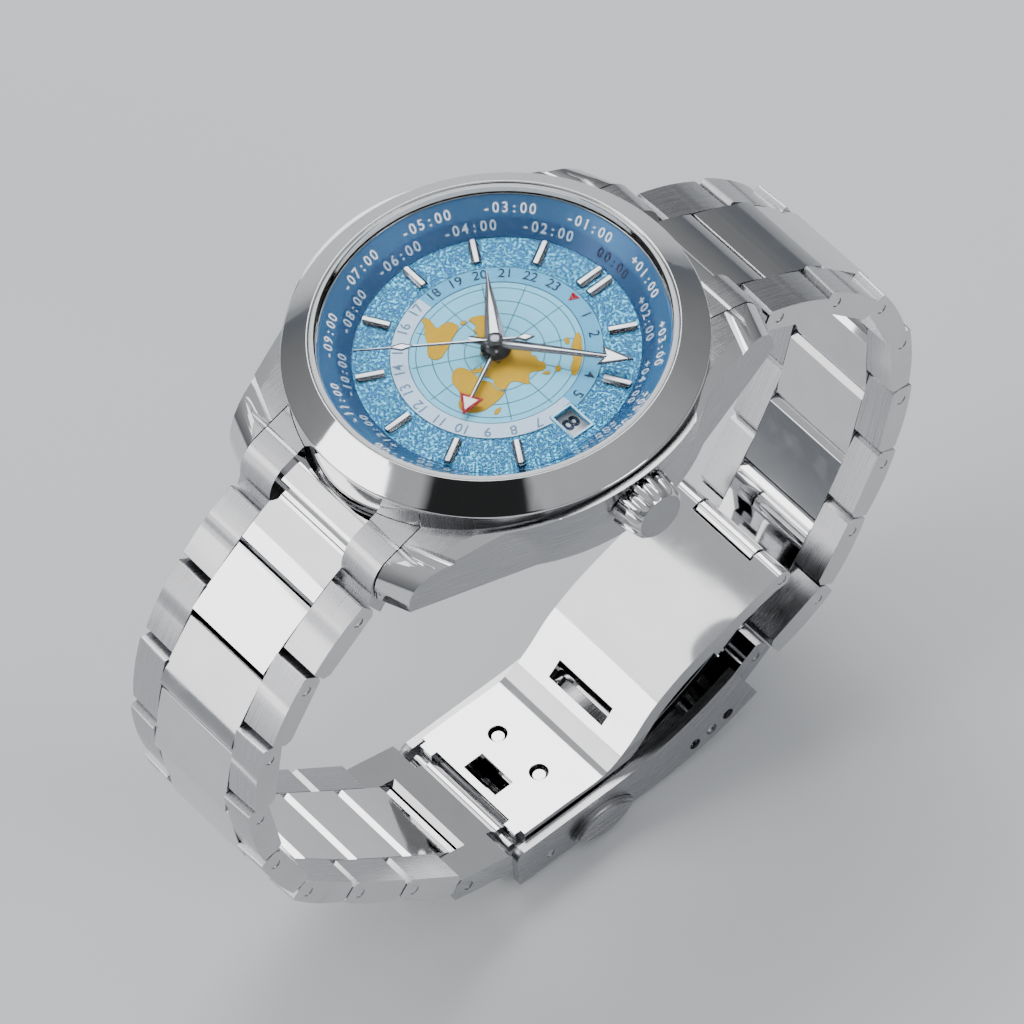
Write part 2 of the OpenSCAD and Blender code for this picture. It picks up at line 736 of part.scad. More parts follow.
module seconds_hand() {
    lozenge_y = second_len * 0.65;
    color("silver") at_time(second_angle) translate([0, 0, second_z]) union() {
        linear_extrude(height = hand_t) polygon([
            [-0.15, 0], [-0.11, lozenge_y - 1.15], [-0.42, lozenge_y + 0.1], [-0.09, lozenge_y + 1.2],
            [-0.06, second_len], [0.06, second_len], [0.09, lozenge_y + 1.2], [0.42, lozenge_y + 0.1],
            [0.11, lozenge_y - 1.15], [0.15, 0], [0.42, -second_tail * 0.75], [0, -second_tail],
            [-0.42, -second_tail * 0.75]
        ]);
        cylinder(r = 0.75, h = hand_t + 0.15);
    }
}

module seconds_arbor() {
    color("silver") translate([0, 0, plate_z + 0.5]) cylinder(r = arbor_r, h = second_z - plate_z - 0.5);
}

module gmt_hand() {
    head = 2.1;
    head_w = 2.4;
    at_time(gmt_angle) hand_blank(gmt_z, gmt_r + 0.3, gmt_in_r) polygon([
        [-0.26, 0.6], [-0.24, gmt_len - head], [-head_w / 2, gmt_len - head], [0, gmt_len],
        [head_w / 2, gmt_len - head], [0.24, gmt_len - head], [0.26, 0.6]
    ]);
}

module gmt_wheel() {
    color("goldenrod") {
        translate([0, 0, dial_seat_z - 0.25]) ring(4.6, gmt_in_r, 0.12);
        translate([0, 0, dial_seat_z - 0.25]) ring(gmt_r, gmt_in_r, gmt_z - dial_seat_z + 0.25);
    }
}

// Date ring with its thirty-one inner teeth
module date_ring() {
    teeth = 31;
    color("white") translate([0, 0, date_ring_z]) union() {
        ring(date_ring_r, date_ring_in_r, date_ring_t);
        for (tooth = [0 : teeth - 1]) {
            rotate([0, 0, tooth * 360 / teeth]) linear_extrude(height = date_ring_t) polygon([
                [date_ring_in_r + 0.1, -0.35], [date_ring_in_r - 0.6, 0], [date_ring_in_r + 0.1, 0.35]
            ]);
        }
    }
}

// Side view of a link bar along y, from one end to the other, with bevelled corners
module bar_view(from_y, to_y) {
    h = link_t / 2;
    crown_sag = 0.16;
    length = to_y - from_y;
    crown_curve_r = (length * length / 4 + crown_sag * crown_sag) / (2 * crown_sag);
    intersection() {
        polygon([
            [from_y, -h + inner_bevel], [from_y + inner_bevel, -h], [to_y - inner_bevel, -h],
            [to_y, -h + inner_bevel], [to_y, h - crown_sag - outer_bevel],
            [to_y - outer_bevel, h], [from_y + outer_bevel, h], [from_y, h - crown_sag - outer_bevel]
        ]);
        translate([(from_y + to_y) / 2, h - crown_curve_r]) circle(r = crown_curve_r, $fn = 120);
    }
}

// The hole across a link for its neighbour's pin
module pin_bore(at_y, radius) {
    translate([0, at_y, 0]) x_rod(radius, -case_w, case_w);
}

// The small recess at each end of a link pin
module pin_recess(radius, reach) {
    for (side = [0, 180]) {
        rotate([0, 0, side]) x_rod(radius, reach, reach + 2);
    }
}

// A bracelet link: two brushed outer links that grip a tongue, and a polished centre link
// half a step further on. A cross pin holds the three together and the hinge pin sits in the
// outer links.
module link_unit(width) {
    outer_end = link_pitch - outer_nose - link_gap;
    centre_from = tongue_nose + link_gap;
    color("silver") difference() {
        union() {
            both_sides(centre_w / 2 + seam, width / 2) bar_view(-outer_nose, outer_end);
            across(centre_w) bar_view(centre_from, link_pitch + tongue_nose);
            translate([0, (centre_from + outer_end) / 2, 0]) x_rod(0.7, -width / 2 + 0.6, width / 2 - 0.6);
            x_rod(pin_r, -width / 2 + 0.5, width / 2 - 0.5);
        }
        pin_recess(pin_r, width / 2 - 0.15);
        pin_bore(link_pitch, pin_r + pin_fit);
    }
}

module link_12(k) {
    at_link(pin_12(k), angle_12(k)) link_unit(link_w(k));
}

module link_6(k) {
    mirror([0, 1, 0]) at_link(pin_6(k), angles_6[k - 1]) link_unit(link_w(k));
}

// End link: two ears that fill the space between the lugs, a low centre with a polished
// bar, and the tongue that the first link grips
module ear_view(drop) {
    reach = lug_to_lug / 2 + 0.1;
    intersection() {
        union() {
            translate([0, -drop]) arch_view(band_top, reach, lug_nose_z, lug_nose_r);
            polygon([
                [shoulder_r, lug_nose_z - drop], [reach, lug_nose_z - drop], [reach + 1, -drop],
                [first_pin_y + 4, first_pin_z - link_t], [shoulder_r, first_pin_z - link_t]
            ]);
        }
        polygon([
            [shoulder_r - 6, band_bottom + 0.2], [shoulder_r + 1, band_bottom + 0.2],
            [first_pin_y - 2.2, first_pin_z - link_t / 2], [first_pin_y + 4, first_pin_z - link_t / 2],
            [first_pin_y + 4, band_top], [shoulder_r - 6, band_top]
        ]);
    }
}

module past_first_link() {
    translate([first_pin_y, first_pin_z]) rotate(-end_drop)
        translate([-outer_nose - link_gap, -20]) square([40, 40]);
}

module end_link() {
    ear_gap = 0.12;
    low_drop = 2;
    bar_drop = 0.7;
    bar_w = 2.3;
    color("silver") difference() {
        union() {
            both_sides(centre_w / 2, lug_gap / 2 - ear_gap) difference() {
                ear_view(0);
                past_first_link();
            }
            across(centre_w) {
                difference() {
                    ear_view(low_drop);
                    past_first_link();
                }
                intersection() {
                    ear_view(bar_drop);
                    translate([shoulder_r + 0.3, 0]) square([bar_w, band_top]);
                }
                translate([first_pin_y, first_pin_z]) rotate(-end_drop) bar_view(-4.2, tongue_nose);
            }
        }
        translate([0, 0, -band_top]) cylinder(r = shoulder_r + fit, h = 3 * band_top);
        translate([0, first_pin_y, first_pin_z]) x_rod(pin_r + pin_fit, -lug_gap, lug_gap);
        translate([0, bar_y, spring_bar_z]) x_rod(spring_bar_r + fit, -lug_gap, lug_gap);
    }
}

module end_link_12() {
    end_link();
}

module end_link_6() {
    mirror([0, 1, 0]) end_link();
}

module lug_spring_bars() {
    reach = lug_gap / 2 + bar_hole_depth - 0.1;
    color("gray") for (side = [-1, 1]) {
        translate([0, side * bar_y, spring_bar_z]) x_rod(spring_bar_r, -reach, reach);
    }
}

// Entry link: joins the last link of the twelve o'clock side to the cover's adjusting hole
inside_w = cover_w - 2 * cover_wall;
entry_w = inside_w - 0.3;
grip_w = centre_w + 2 * seam;
entry_barrel_r = 1;
module entry_view(from_y) {
    union() {
        bar_view(from_y, entry_len - 0.6);
        translate([entry_len, 0]) circle(r = entry_barrel_r);
    }
}

module entry_link() {
    color("silver") at_link(entry_pin, entry_angle) difference() {
        union() {
            both_sides(grip_w / 2, entry_w / 2) entry_view(-outer_nose);
            across(grip_w + eps) entry_view(tongue_nose + link_gap);
            x_rod(pin_r, -entry_w / 2 + 0.5, entry_w / 2 - 0.5);
        }
        pin_recess(pin_r, entry_w / 2 - 0.15);
        pin_bore(entry_len, clasp_bar_r + press);
    }
}

module clasp_spring_bar() {
    reach = cover_w / 2 - 0.25;
    color("gray") translate([0, cover_bar[0], cover_bar[1]]) x_rod(clasp_bar_r, -reach, reach);
}

// Exit link: joins the last link of the six o'clock side to the inner arm
module exit_link() {
    shoulder_end = exit_len - exit_barrel_r - 0.25;
    color("silver") mirror([0, 1, 0]) at_link(pin_6(links + 1), angles_6[links]) difference() {
        union() {
            both_sides(grip_w / 2, last_link_w / 2) bar_view(-outer_nose, shoulder_end);
            across(grip_w + eps) union() {
                bar_view(tongue_nose + link_gap, exit_len - 0.6);
                translate([exit_len, 0]) circle(r = exit_barrel_r);
            }
            x_rod(pin_r, -last_link_w / 2 + 0.5, last_link_w / 2 - 0.5);
        }
        pin_recess(pin_r, last_link_w / 2 - 0.15);
        pin_bore(exit_len, exit_pin_r + press);
    }
}

module exit_pin() {
    reach = inner_arm_w / 2 - 0.6;
    color("gray") mirror([0, 1, 0]) translate([0, exit_point[0], exit_point[1]])
        x_rod(exit_pin_r, -reach, reach);
}

// Clasp cover: a pressed channel with rounded lower edges, flat and then curved
module channel_section() {
    difference() {
        union() {
            translate([-cover_w / 2, cover_round]) square([cover_w, 10]);
            translate([-cover_w / 2 + cover_round, 0]) square([cover_w - 2 * cover_round, 2]);
            for (side = [-1, 1]) {
                translate([side * (cover_w / 2 - cover_round), cover_round]) circle(r = cover_round);
            }
        }
        translate([-inside_w / 2, cover_wall]) square([inside_w, 12]);
    }
}

module channel_flat() {
    rotate([90, 0, 180]) linear_extrude(height = cover_flat) channel_section();
}

module channel_curve() {
    translate([0, cover_flat, cover_curve_r]) rotate([0, 90, 0]) rotate_extrude(angle = 60, $fn = 180)
        intersection() {
            translate([cover_curve_r, 0]) rotate(90) channel_section();
            translate([1, -cover_w]) square([cover_curve_r, 2 * cover_w]);
        }
}

module cover_side_view() {
    top_curve_r = 37;
    top_flat = cover_flat - 4.5;
    end_lean = 23;
    heel_r = 30;
    heel_l = 7;
    corner_r = 1;
    difference() {
        translate([0, -1]) square([cover_l + 5, 14]);
        translate([-1, cover_h]) square([top_flat + 1, 20]);
        intersection() {
            translate([top_flat, cover_h + top_curve_r]) circle(r = top_curve_r, $fn = 180);
            translate([top_flat - eps, cover_h - eps]) square([40, 40]);
        }
        translate([cover_l, cover_rise(cover_l)]) rotate(end_lean) translate([0, -10]) square([20, 40]);
        difference() {
            translate([-1, cover_h - corner_r]) square([1 + corner_r, 1 + corner_r]);
            translate([corner_r, cover_h - corner_r]) circle(r = corner_r);
        }
        difference() {
            translate([-1, -1]) square([1 + heel_l, 2]);
            translate([heel_l, heel_r]) circle(r = heel_r, $fn = 180);
        }
    }
}

module at_cover() {
    translate([0, cover_y, cover_z]) children();
}

// A pointed oval drawn through a wall, from one distance to another
module oval_rod(length, height, from_x, to_x) {
    arc_r = (length * length / 4 + height * height / 4) / height;
    translate([from_x, 0, 0]) rotate([90, 0, 90]) linear_extrude(height = to_x - from_x) intersection() {
        translate([0, arc_r - height / 2]) circle(r = arc_r, $fn = 180);
        translate([0, height / 2 - arc_r]) circle(r = arc_r, $fn = 180);
    }
}

button_z = 2.3;
module clasp_cover() {
    color("silver") at_cover() difference() {
        intersection() {
            union() {
                channel_flat();
                channel_curve();
            }
            across(2 * cover_w) cover_side_view();
        }
        translate([-inside_w / 2, -1, -1]) cube([inside_w, 3.6, 10]);
        translate([-inside_w / 2, cover_l - 3, -1]) cube([inside_w, 10, 20]);
        translate([0, hinge_inset, hinge_h]) x_rod(hinge_pin_r + press, -cover_w, cover_w);
        for (hole = [-1 : 1]) {
            hole_y = adjust_y + hole * adjust_pitch;
            translate([0, hole_y, cover_rise(hole_y) + adjust_h])
                x_rod(clasp_bar_r + pin_fit, -cover_w, cover_w);
        }
        translate([0, button_inset, button_z]) oval_rod(button_l + 0.2, button_h + 0.1, -cover_w, cover_w);
    }
}

module cover_hinge_pin() {
    reach = cover_w / 2 - 0.1;
    color("gray") translate([0, cover_hinge[0], cover_hinge[1]]) x_rod(hinge_pin_r, -reach, reach);
}

// Latch block on the cover's floor, with two studs that enter the inner arm's holes
latch_w = 10;
latch_h = 0.5;
stud_r = 0.65;
stud_x = 3.2;
stud_y = 8;
module latch_block() {
    color("gray") at_cover() translate([0, 0, cover_wall]) {
        translate([-latch_w / 2, stud_y - 1, 0]) cube([latch_w, 5, latch_h]);
        for (side = [-1, 1]) {
            translate([side * stud_x, stud_y, 0]) cylinder(r = stud_r, h = cover_h + 0.4 - cover_wall);
        }
    }
}

// Push button: a pointed oval cap in the wall's window and a wider foot inside the wall
module button() {
    foot_x = inside_w / 2 - 0.55;
    foot_t = 0.5;
    foot_h = 1.8;
    step_t = 0.3;
    groove_w = 0.12;
    cap_end = cover_w / 2 + button_out;
    color("silver") at_cover() translate([0, button_inset, button_z]) difference() {
        union() {
            oval_rod(button_l, button_h, foot_x, cap_end - step_t);
            oval_rod(button_l - 0.8, button_h - 0.5, foot_x, cap_end);
            translate([foot_x, -button_l / 2 - foot_t, -foot_h / 2])
                cube([foot_t, button_l + 2 * foot_t, foot_h]);
        }
        for (groove = [-0.6, 0.3]) {
            translate([cap_end - groove_w, -button_l, groove]) cube([1, 2 * button_l, groove_w]);
        }
    }
}

module button_right() {
    button();
}

module button_left() {
    mirror([1, 0, 0]) button();
}

// The side view of the outer arm's plate, between two angles on its circle
module outer_arm_view(from_a, to_a) {
    reach = 2 * arm_curve_r;
    mid_a = (from_a + to_a) / 2;
    translate([arm_centre[0], arm_centre[1]]) intersection() {
        difference() {
            circle(r = outer_arm_r, $fn = 240);
            circle(r = outer_arm_r - arm_t, $fn = 240);
        }
        polygon([[0, 0], reach * [sin(from_a), -cos(from_a)], reach * 1.2 * [sin(mid_a), -cos(mid_a)],
            reach * [sin(to_a), -cos(to_a)]]);
    }
}

module knuckle(centre, radius) {
    translate([centre[0], centre[1]]) circle(r = radius);
}

// Outer arm: hinged in the cover, nested under the inner arm
middle_knuckle_w = 8.4;
module outer_arm() {
    turn_per_mm = 180 / PI / arm_curve_r;
    window_w = 2 * (stud_x + stud_r + 0.45);
    window_from = hinge_pin_r + pin_fit + 1.75;
    window_to = stud_y + 6;
    color("silver") difference() {
        union() {
            across(outer_arm_w) outer_arm_view(arm_from, arm_to - 3 * turn_per_mm);
            across(outer_arm_w) knuckle(cover_hinge, knuckle_r);
            across(middle_knuckle_w) {
                outer_arm_view(arm_to - 4 * turn_per_mm, arm_to);
                knuckle(arm_hinge, knuckle_r);
            }
        }
        across(window_w)
            outer_arm_view_cut(arm_from + window_from * turn_per_mm, arm_from + window_to * turn_per_mm);
        translate([0, cover_hinge[0], cover_hinge[1]]) x_rod(hinge_pin_r + pin_fit, -cover_w, cover_w);
        translate([0, arm_hinge[0], arm_hinge[1]]) x_rod(hinge_pin_r + press, -cover_w, cover_w);
    }
}

// The window in the outer arm that lets the latch studs through
module outer_arm_view_cut(from_a, to_a) {
    reach = 1.2 * arm_curve_r;
    translate([arm_centre[0], arm_centre[1]]) polygon([[0, 0], reach * [sin(from_a), -cos(from_a)],
        reach * [sin(to_a), -cos(to_a)]]);
}

module arm_hinge_pin() {
    reach = inner_arm_w / 2 - 0.1;
    color("gray") translate([0, arm_hinge[0], arm_hinge[1]]) x_rod(hinge_pin_r, -reach, reach);
}

// The inner arm's top line: its bends joined by smooth curves
function bend_at(i) = inner_arm_bends[max(0, min(len(inner_arm_bends) - 1, i))];
function on_curve(i, t) = 0.5 * (2 * bend_at(i) + (bend_at(i + 1) - bend_at(i - 1)) * t
    + (2 * bend_at(i - 1) - 5 * bend_at(i) + 4 * bend_at(i + 1) - bend_at(i + 2)) * t * t
    + (3 * bend_at(i) - bend_at(i - 1) - 3 * bend_at(i + 1) + bend_at(i + 2)) * t * t * t);
function in_cover(share) = [
    inner_arm_low[0] + share[0] * (inner_arm_high[0] - inner_arm_low[0]),
    inner_arm_low[1] + share[1] * (inner_arm_high[1] - inner_arm_low[1])
];
curve_steps = 4;
last_point = (len(inner_arm_bends) - 1) * curve_steps;
inner_arm_top = [
    for (i = [0 : last_point]) in_cover(on_curve(floor(i / curve_steps), (i % curve_steps) / curve_steps))
];
function along(i) = inner_arm_top[min(last_point, i + 1)] - inner_arm_top[max(0, i - 1)];
function normal_at(i) = [along(i)[1], -along(i)[0]] / norm(along(i));
function below_top(depth) = [for (i = [0 : last_point]) inner_arm_top[i] + depth * normal_at(i)];
function reversed(v) = [for (i = [len(v) - 1 : -1 : 0]) v[i]];

module inner_arm_view(depth) {
    polygon(concat(inner_arm_top, reversed(below_top(depth))));
}

// Inner arm: the wide bent plate against the wrist, with turned-down edges. Two ears with
// open round seats meet the exit pin.
module inner_arm() {
    edge_t = 0.8;
    ear_in = grip_w / 2 + 0.2;
    ear_out = inner_arm_w / 2 - 0.6;
    hinge_in_cover = arm_hinge - [cover_y, cover_z];
    slot_w = middle_knuckle_w + 0.5;
    end_slot_w = 4.8;
    end_slot_y = 2.9;
    end_slot_l = 2.4;
    middle_slot_w = 8.2;
    middle_slot_y = 15.6;
    middle_slot_l = 1.6;
    stud_play = 0.35;
    seat_play = 0.1;
    seat_back = 2;
    seat_tall = 6;
    color("gainsboro") at_cover() difference() {
        union() {
            across(inner_arm_w) inner_arm_view(arm_t);
            both_sides(inner_arm_w / 2 - edge_t, inner_arm_w / 2) inner_arm_view(arm_edge);
            both_sides(slot_w / 2, inner_arm_w / 2) knuckle(hinge_in_cover, knuckle_r);
            both_sides(ear_in, ear_out) translate([exit_y, exit_h - 0.25])
                square([inner_arm_low[0] - exit_y + 1, inner_arm_low[1] - exit_h + 0.25]);
        }
        both_sides(ear_in - eps, ear_out + eps) {
            translate([exit_y - seat_back, exit_h - seat_back]) square([seat_back + 0.3, seat_tall]);
            knuckle([exit_y, exit_h], exit_pin_r + seat_play);
            translate([exit_y - seat_back, exit_h])
                square([seat_back + exit_pin_r + 1.5 * seat_play, seat_tall]);
        }
        across(slot_w) knuckle(hinge_in_cover, knuckle_r + 0.3);
        across(end_slot_w) translate([end_slot_y, 0]) square([end_slot_l, 2 * cover_h]);
        across(middle_slot_w) translate([middle_slot_y, 0]) square([middle_slot_l, 4 * cover_h]);
        for (side = [-1, 1]) {
            translate([side * stud_x, stud_y, 0]) cylinder(r = stud_r + stud_play, h = 2 * cover_h);
        }
        translate([0, hinge_in_cover[0], hinge_in_cover[1]]) x_rod(hinge_pin_r + pin_fit, -cover_w, cover_w);
    }
}

case_middle();
bezel();
crystal();
crystal_gasket();
flange_ring();
dial();
hour_batons();
date_frame();
main_plate();
train_bridge();
movement_ring();
rotor_bearing();
case_back();
back_gasket();
crown_tube();
end_link_12();
end_link_6();
lug_spring_bars();
rotor();
date_ring();
hour_hand();
hour_wheel();
minute_hand();
cannon_pinion();
seconds_hand();
seconds_arbor();
gmt_hand();
gmt_wheel();
crown_gasket();
crown();
stem();
link_12(1);  // link_12_1
link_12(2);  // link_12_2
link_12(3);  // link_12_3
link_12(4);  // link_12_4
link_12(5);  // link_12_5
link_12(6);  // link_12_6
link_12(7);  // link_12_7
link_12(8);  // link_12_8
link_6(1);  // link_6_1
link_6(2);  // link_6_2
link_6(3);  // link_6_3
link_6(4);  // link_6_4
link_6(5);  // link_6_5
link_6(6);  // link_6_6
link_6(7);  // link_6_7
link_6(8);  // link_6_8
entry_link();
clasp_spring_bar();
exit_link();
exit_pin();
clasp_cover();
cover_hinge_pin();
latch_block();
button_right();
button_left();
outer_arm();
arm_hinge_pin();
inner_arm();
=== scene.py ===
# %% [markdown]
# # A wristwatch, dressed over its solids
# The solids of the watch are packed as a frame: every link, hand and gasket has its place
# there. This lesson keeps that frame still and makes the surfaces that an eye meets: brushed
# and polished steel, a grained dial, printed numbers and faceted hands.

# %% Load the frame
import json
import math
import bmesh
import bpy
from mathutils import Matrix, Vector


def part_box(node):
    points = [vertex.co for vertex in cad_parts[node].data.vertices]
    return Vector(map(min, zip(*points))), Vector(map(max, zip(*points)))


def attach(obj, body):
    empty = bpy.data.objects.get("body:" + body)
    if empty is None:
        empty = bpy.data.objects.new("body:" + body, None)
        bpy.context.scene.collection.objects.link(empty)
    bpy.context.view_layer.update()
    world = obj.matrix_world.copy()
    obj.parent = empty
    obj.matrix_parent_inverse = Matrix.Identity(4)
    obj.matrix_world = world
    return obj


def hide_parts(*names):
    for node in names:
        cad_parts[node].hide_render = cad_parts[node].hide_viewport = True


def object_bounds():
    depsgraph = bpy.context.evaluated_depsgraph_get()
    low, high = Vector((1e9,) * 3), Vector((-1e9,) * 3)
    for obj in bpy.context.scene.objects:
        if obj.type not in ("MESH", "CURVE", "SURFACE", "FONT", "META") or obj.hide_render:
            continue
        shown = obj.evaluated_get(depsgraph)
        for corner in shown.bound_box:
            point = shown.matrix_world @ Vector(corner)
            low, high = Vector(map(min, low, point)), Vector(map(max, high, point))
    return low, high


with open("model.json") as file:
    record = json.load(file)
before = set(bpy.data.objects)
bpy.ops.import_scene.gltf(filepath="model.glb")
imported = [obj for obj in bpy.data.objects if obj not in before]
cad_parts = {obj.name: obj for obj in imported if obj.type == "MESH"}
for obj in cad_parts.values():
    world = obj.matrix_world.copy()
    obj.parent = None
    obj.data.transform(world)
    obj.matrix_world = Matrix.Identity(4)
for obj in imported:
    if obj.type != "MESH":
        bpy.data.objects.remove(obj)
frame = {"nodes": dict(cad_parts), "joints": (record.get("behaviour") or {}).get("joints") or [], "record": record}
cad_box = [list(corner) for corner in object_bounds()]
solids = frame["nodes"]
joints = {joint["name"]: joint for joint in frame["joints"]}
bodies = frame["record"]["behaviour"]["bodies"]
body_of = {node: body for body, nodes in bodies.items() for node in nodes}
slot_of = {row["node"]: row["material_slot"] for row in frame["record"]["subparts"]}
mm = 0.001
print("solids:", len(solids), "joints:", len(joints))

# %% [markdown]
# ## The camera
# A watch is photographed with a long lens from far away, so near and far links keep almost
# the same size. The camera's place and axes were solved from marks on the dial and from the
# bracelet's pins. It looks straight ahead, so the picture needs no shift.

# %% Camera
camera_place = Vector((0.54435, -0.36407, 0.86448))
picture_right = Vector((0.64014, 0.76404, -0.08042))
picture_down = Vector((0.58670, -0.55374, -0.59089))
picture_depth = picture_right.cross(picture_down)
sensor_width, focal_length = 36, 396.9  # in millimetres


def make_camera():
    lens = bpy.data.cameras.new("photo_camera")
    lens.sensor_width = sensor_width
    lens.lens = focal_length
    lens.clip_end = 20
    camera = bpy.data.objects.new("photo_camera", lens)
    axes = Matrix((picture_right, -picture_down, -picture_depth)).transposed()
    camera.matrix_world = Matrix.Translation(camera_place) @ axes.to_4x4()
    bpy.context.scene.collection.objects.link(camera)
    bpy.context.scene.camera = camera


make_camera()
print("camera looks along", [round(v, 3) for v in picture_depth])

# %% [markdown]
# ## Floor and light
# Steel shows only what it mirrors. A broad light hangs behind the watch's 12 o'clock side.
# Others stand where the 6 o'clock links, the end link and the crown's side mirror them, and
# the sky runs from grey at the horizon to white overhead. One dark card stands beside the
# camera, as a photographer would place it, so that each bevel has something bright and
# something dark to carry.

# %% Floor, sky and lights
floor_paint_grey = (0.74, 0.76, 0.78, 1)
horizon_grey, zenith_grey = (0.24, 0.26, 0.29, 1), (0.95, 0.97, 1.0, 1)
greys_between = ((0.12, 0.36), (0.35, 0.50), (0.6, 0.80))  # height in the sky, grey
sky_strength = 0.7
card_way = Vector((0.50, -0.65, 0.57)).normalized()
card_rim = (0.90, 0.93)  # cosines of the angles from the card's middle between which it fades in
card_light = 0.05
soft_lights = (  # name, place, width, height, power
    ("back_light", (-0.45, 0.35, 0.75), 0.5, 0.5, 4),
    ("left_light", (-0.35, -0.75, 0.45), 0.5, 0.35, 2.5),
    ("crown_light", (0.85, 0.25, 0.35), 0.35, 0.3, 2.6),
    ("low_light", (-0.42, -0.82, 0.10), 0.45, 0.24, 0.8),
    ("strap_light", (-0.51, -0.38, 0.76), 0.4, 0.4, 1.0),
)


def make_floor():
    shape = bmesh.new()
    bmesh.ops.create_grid(shape, x_segments=1, y_segments=1, size=3)
    mesh = bpy.data.meshes.new("floor")
    shape.to_mesh(mesh)
    shape.free()
    mesh.transform(Matrix.Translation((0, 0, cad_box[0][2] - 0.02 * mm)))
    floor = bpy.data.objects.new("floor", mesh)
    bpy.context.scene.collection.objects.link(floor)
    paint = bpy.data.materials.new("floor_paint")
    paint.use_nodes = True
    shader = paint.node_tree.nodes["Principled BSDF"]
    shader.inputs["Base Color"].default_value = floor_paint_grey
    shader.inputs["Roughness"].default_value = 0.75
    mesh.materials.append(paint)


def make_sky():
    """Grey at the horizon, white overhead, and one dark card beside the camera."""
    sky = bpy.data.worlds.new("studio_sky")
    sky.use_nodes = True
    tree = sky.node_tree
    where = tree.nodes.new("ShaderNodeTexCoord")
    split = tree.nodes.new("ShaderNodeSeparateXYZ")
    ramp = tree.nodes.new("ShaderNodeValToRGB")
    tree.links.new(where.outputs["Generated"], split.inputs[0])
    tree.links.new(split.outputs["Z"], ramp.inputs[0])
    stops = ramp.color_ramp.elements
    stops[0].position, stops[0].color = 0.0, horizon_grey
    stops[1].position, stops[1].color = 1.0, zenith_grey
    for height, grey in greys_between:
        stops.new(height).color = (grey * 0.96, grey * 0.98, grey, 1)
    facing = tree.nodes.new("ShaderNodeVectorMath")
    facing.operation = "DOT_PRODUCT"
    facing.inputs[1].default_value = card_way
    tree.links.new(where.outputs["Generated"], facing.inputs[0])
    edge = tree.nodes.new("ShaderNodeMapRange")
    edge.inputs["From Min"].default_value, edge.inputs["From Max"].default_value = card_rim
    edge.inputs["To Min"].default_value, edge.inputs["To Max"].default_value = 1.0, card_light
    tree.links.new(facing.outputs["Value"], edge.inputs["Value"])
    shade = tree.nodes.new("ShaderNodeVectorMath")
    shade.operation = "SCALE"
    tree.links.new(ramp.outputs["Color"], shade.inputs[0])
    tree.links.new(edge.outputs[0], shade.inputs["Scale"])
    tree.links.new(shade.outputs[0], tree.nodes["Background"].inputs["Color"])
    tree.nodes["Background"].inputs["Strength"].default_value = sky_strength
    bpy.context.scene.world = sky


def soft_light(name, place, width, height, power):
    lamp = bpy.data.lights.new(name, "AREA")
    lamp.shape = "RECTANGLE"
    lamp.size = width
    lamp.size_y = height
    lamp.energy = power
    light = bpy.data.objects.new(name, lamp)
    light.location = place
    light.rotation_euler = (-Vector(place)).to_track_quat("-Z", "Y").to_euler()
    bpy.context.scene.collection.objects.link(light)


make_floor()
make_sky()
for settings in soft_lights:
    soft_light(*settings)
print("floor at", round(cad_box[0][2] / mm, 2), "mm, lights:", len(soft_lights))

# %% [markdown]
# ## Tools for node trees
# A node tree is wires and boxes. Short helpers place a box, do a sum, blend two colours and
# start a group, a Geometry Nodes tree or a material, so that each tree below reads as what it
# does.

# %% Helpers for node trees


def feed(tree, socket, value):
    """Puts a plain value or another box's output into a socket."""
    if isinstance(value, bpy.types.NodeSocket):
        tree.links.new(value, socket)
    else:
        socket.default_value = value


def add(tree, kind, inputs=None, **settings):
    node = tree.nodes.new(kind)
    for name, value in settings.items():
        setattr(node, name, value)
    for name, value in (inputs or {}).items():
        feed(tree, node.inputs[name], value)
    return node


def sum_of(tree, operation, *terms):
    return add(tree, "ShaderNodeMath", dict(enumerate(terms)), operation=operation).outputs[0]


def parts_of(tree, vector):
    return add(tree, "ShaderNodeSeparateXYZ", {0: vector}).outputs


def vector_of(tree, x=0.0, y=0.0, z=0.0):
    return add(tree, "ShaderNodeCombineXYZ", {0: x, 1: y, 2: z}).outputs[0]


def blend_of(tree, share, first, second):
    first, second = [(*tone, 1) if isinstance(tone, tuple) else tone for tone in (first, second)]
    return add(tree, "ShaderNodeMix", {0: share, 6: first, 7: second}, data_type="RGBA").outputs[2]


def start_group(name, inputs, outputs):
    group = bpy.data.node_groups.new(name, "ShaderNodeTree")
    for label, value in inputs:
        socket = group.interface.new_socket(label, in_out="INPUT", socket_type="NodeSocketFloat")
        socket.default_value = value
    for label, kind in outputs:
        group.interface.new_socket(label, in_out="OUTPUT", socket_type="NodeSocket" + kind)
    given, made = group.nodes.new("NodeGroupInput"), group.nodes.new("NodeGroupOutput")
    return group, given.outputs, made.inputs


def start_shape_tree(name, inputs):
    """Starts a Geometry Nodes tree; the third result says how a script names each input."""
    tree = bpy.data.node_groups.new(name, "GeometryNodeTree")
    sockets = {}
    for label, kind in inputs:
        socket = tree.interface.new_socket(label, in_out="INPUT", socket_type="NodeSocket" + kind)
        sockets[label] = socket.identifier
    tree.interface.new_socket("Result", in_out="OUTPUT", socket_type="NodeSocketGeometry")
    given, made = tree.nodes.new("NodeGroupInput"), tree.nodes.new("NodeGroupOutput")
    return tree, given.outputs, sockets, made.inputs[0]


def start_material(name, metallic=1.0):
    material = bpy.data.materials.new(name)
    material.use_nodes = True
    shader = material.node_tree.nodes["Principled BSDF"]
    shader.inputs["Metallic"].default_value = metallic
    return material, material.node_tree, shader.inputs


def place_group(tree, group, **values):
    return add(tree, "ShaderNodeGroup", values, node_tree=group).outputs


print("helpers ready")

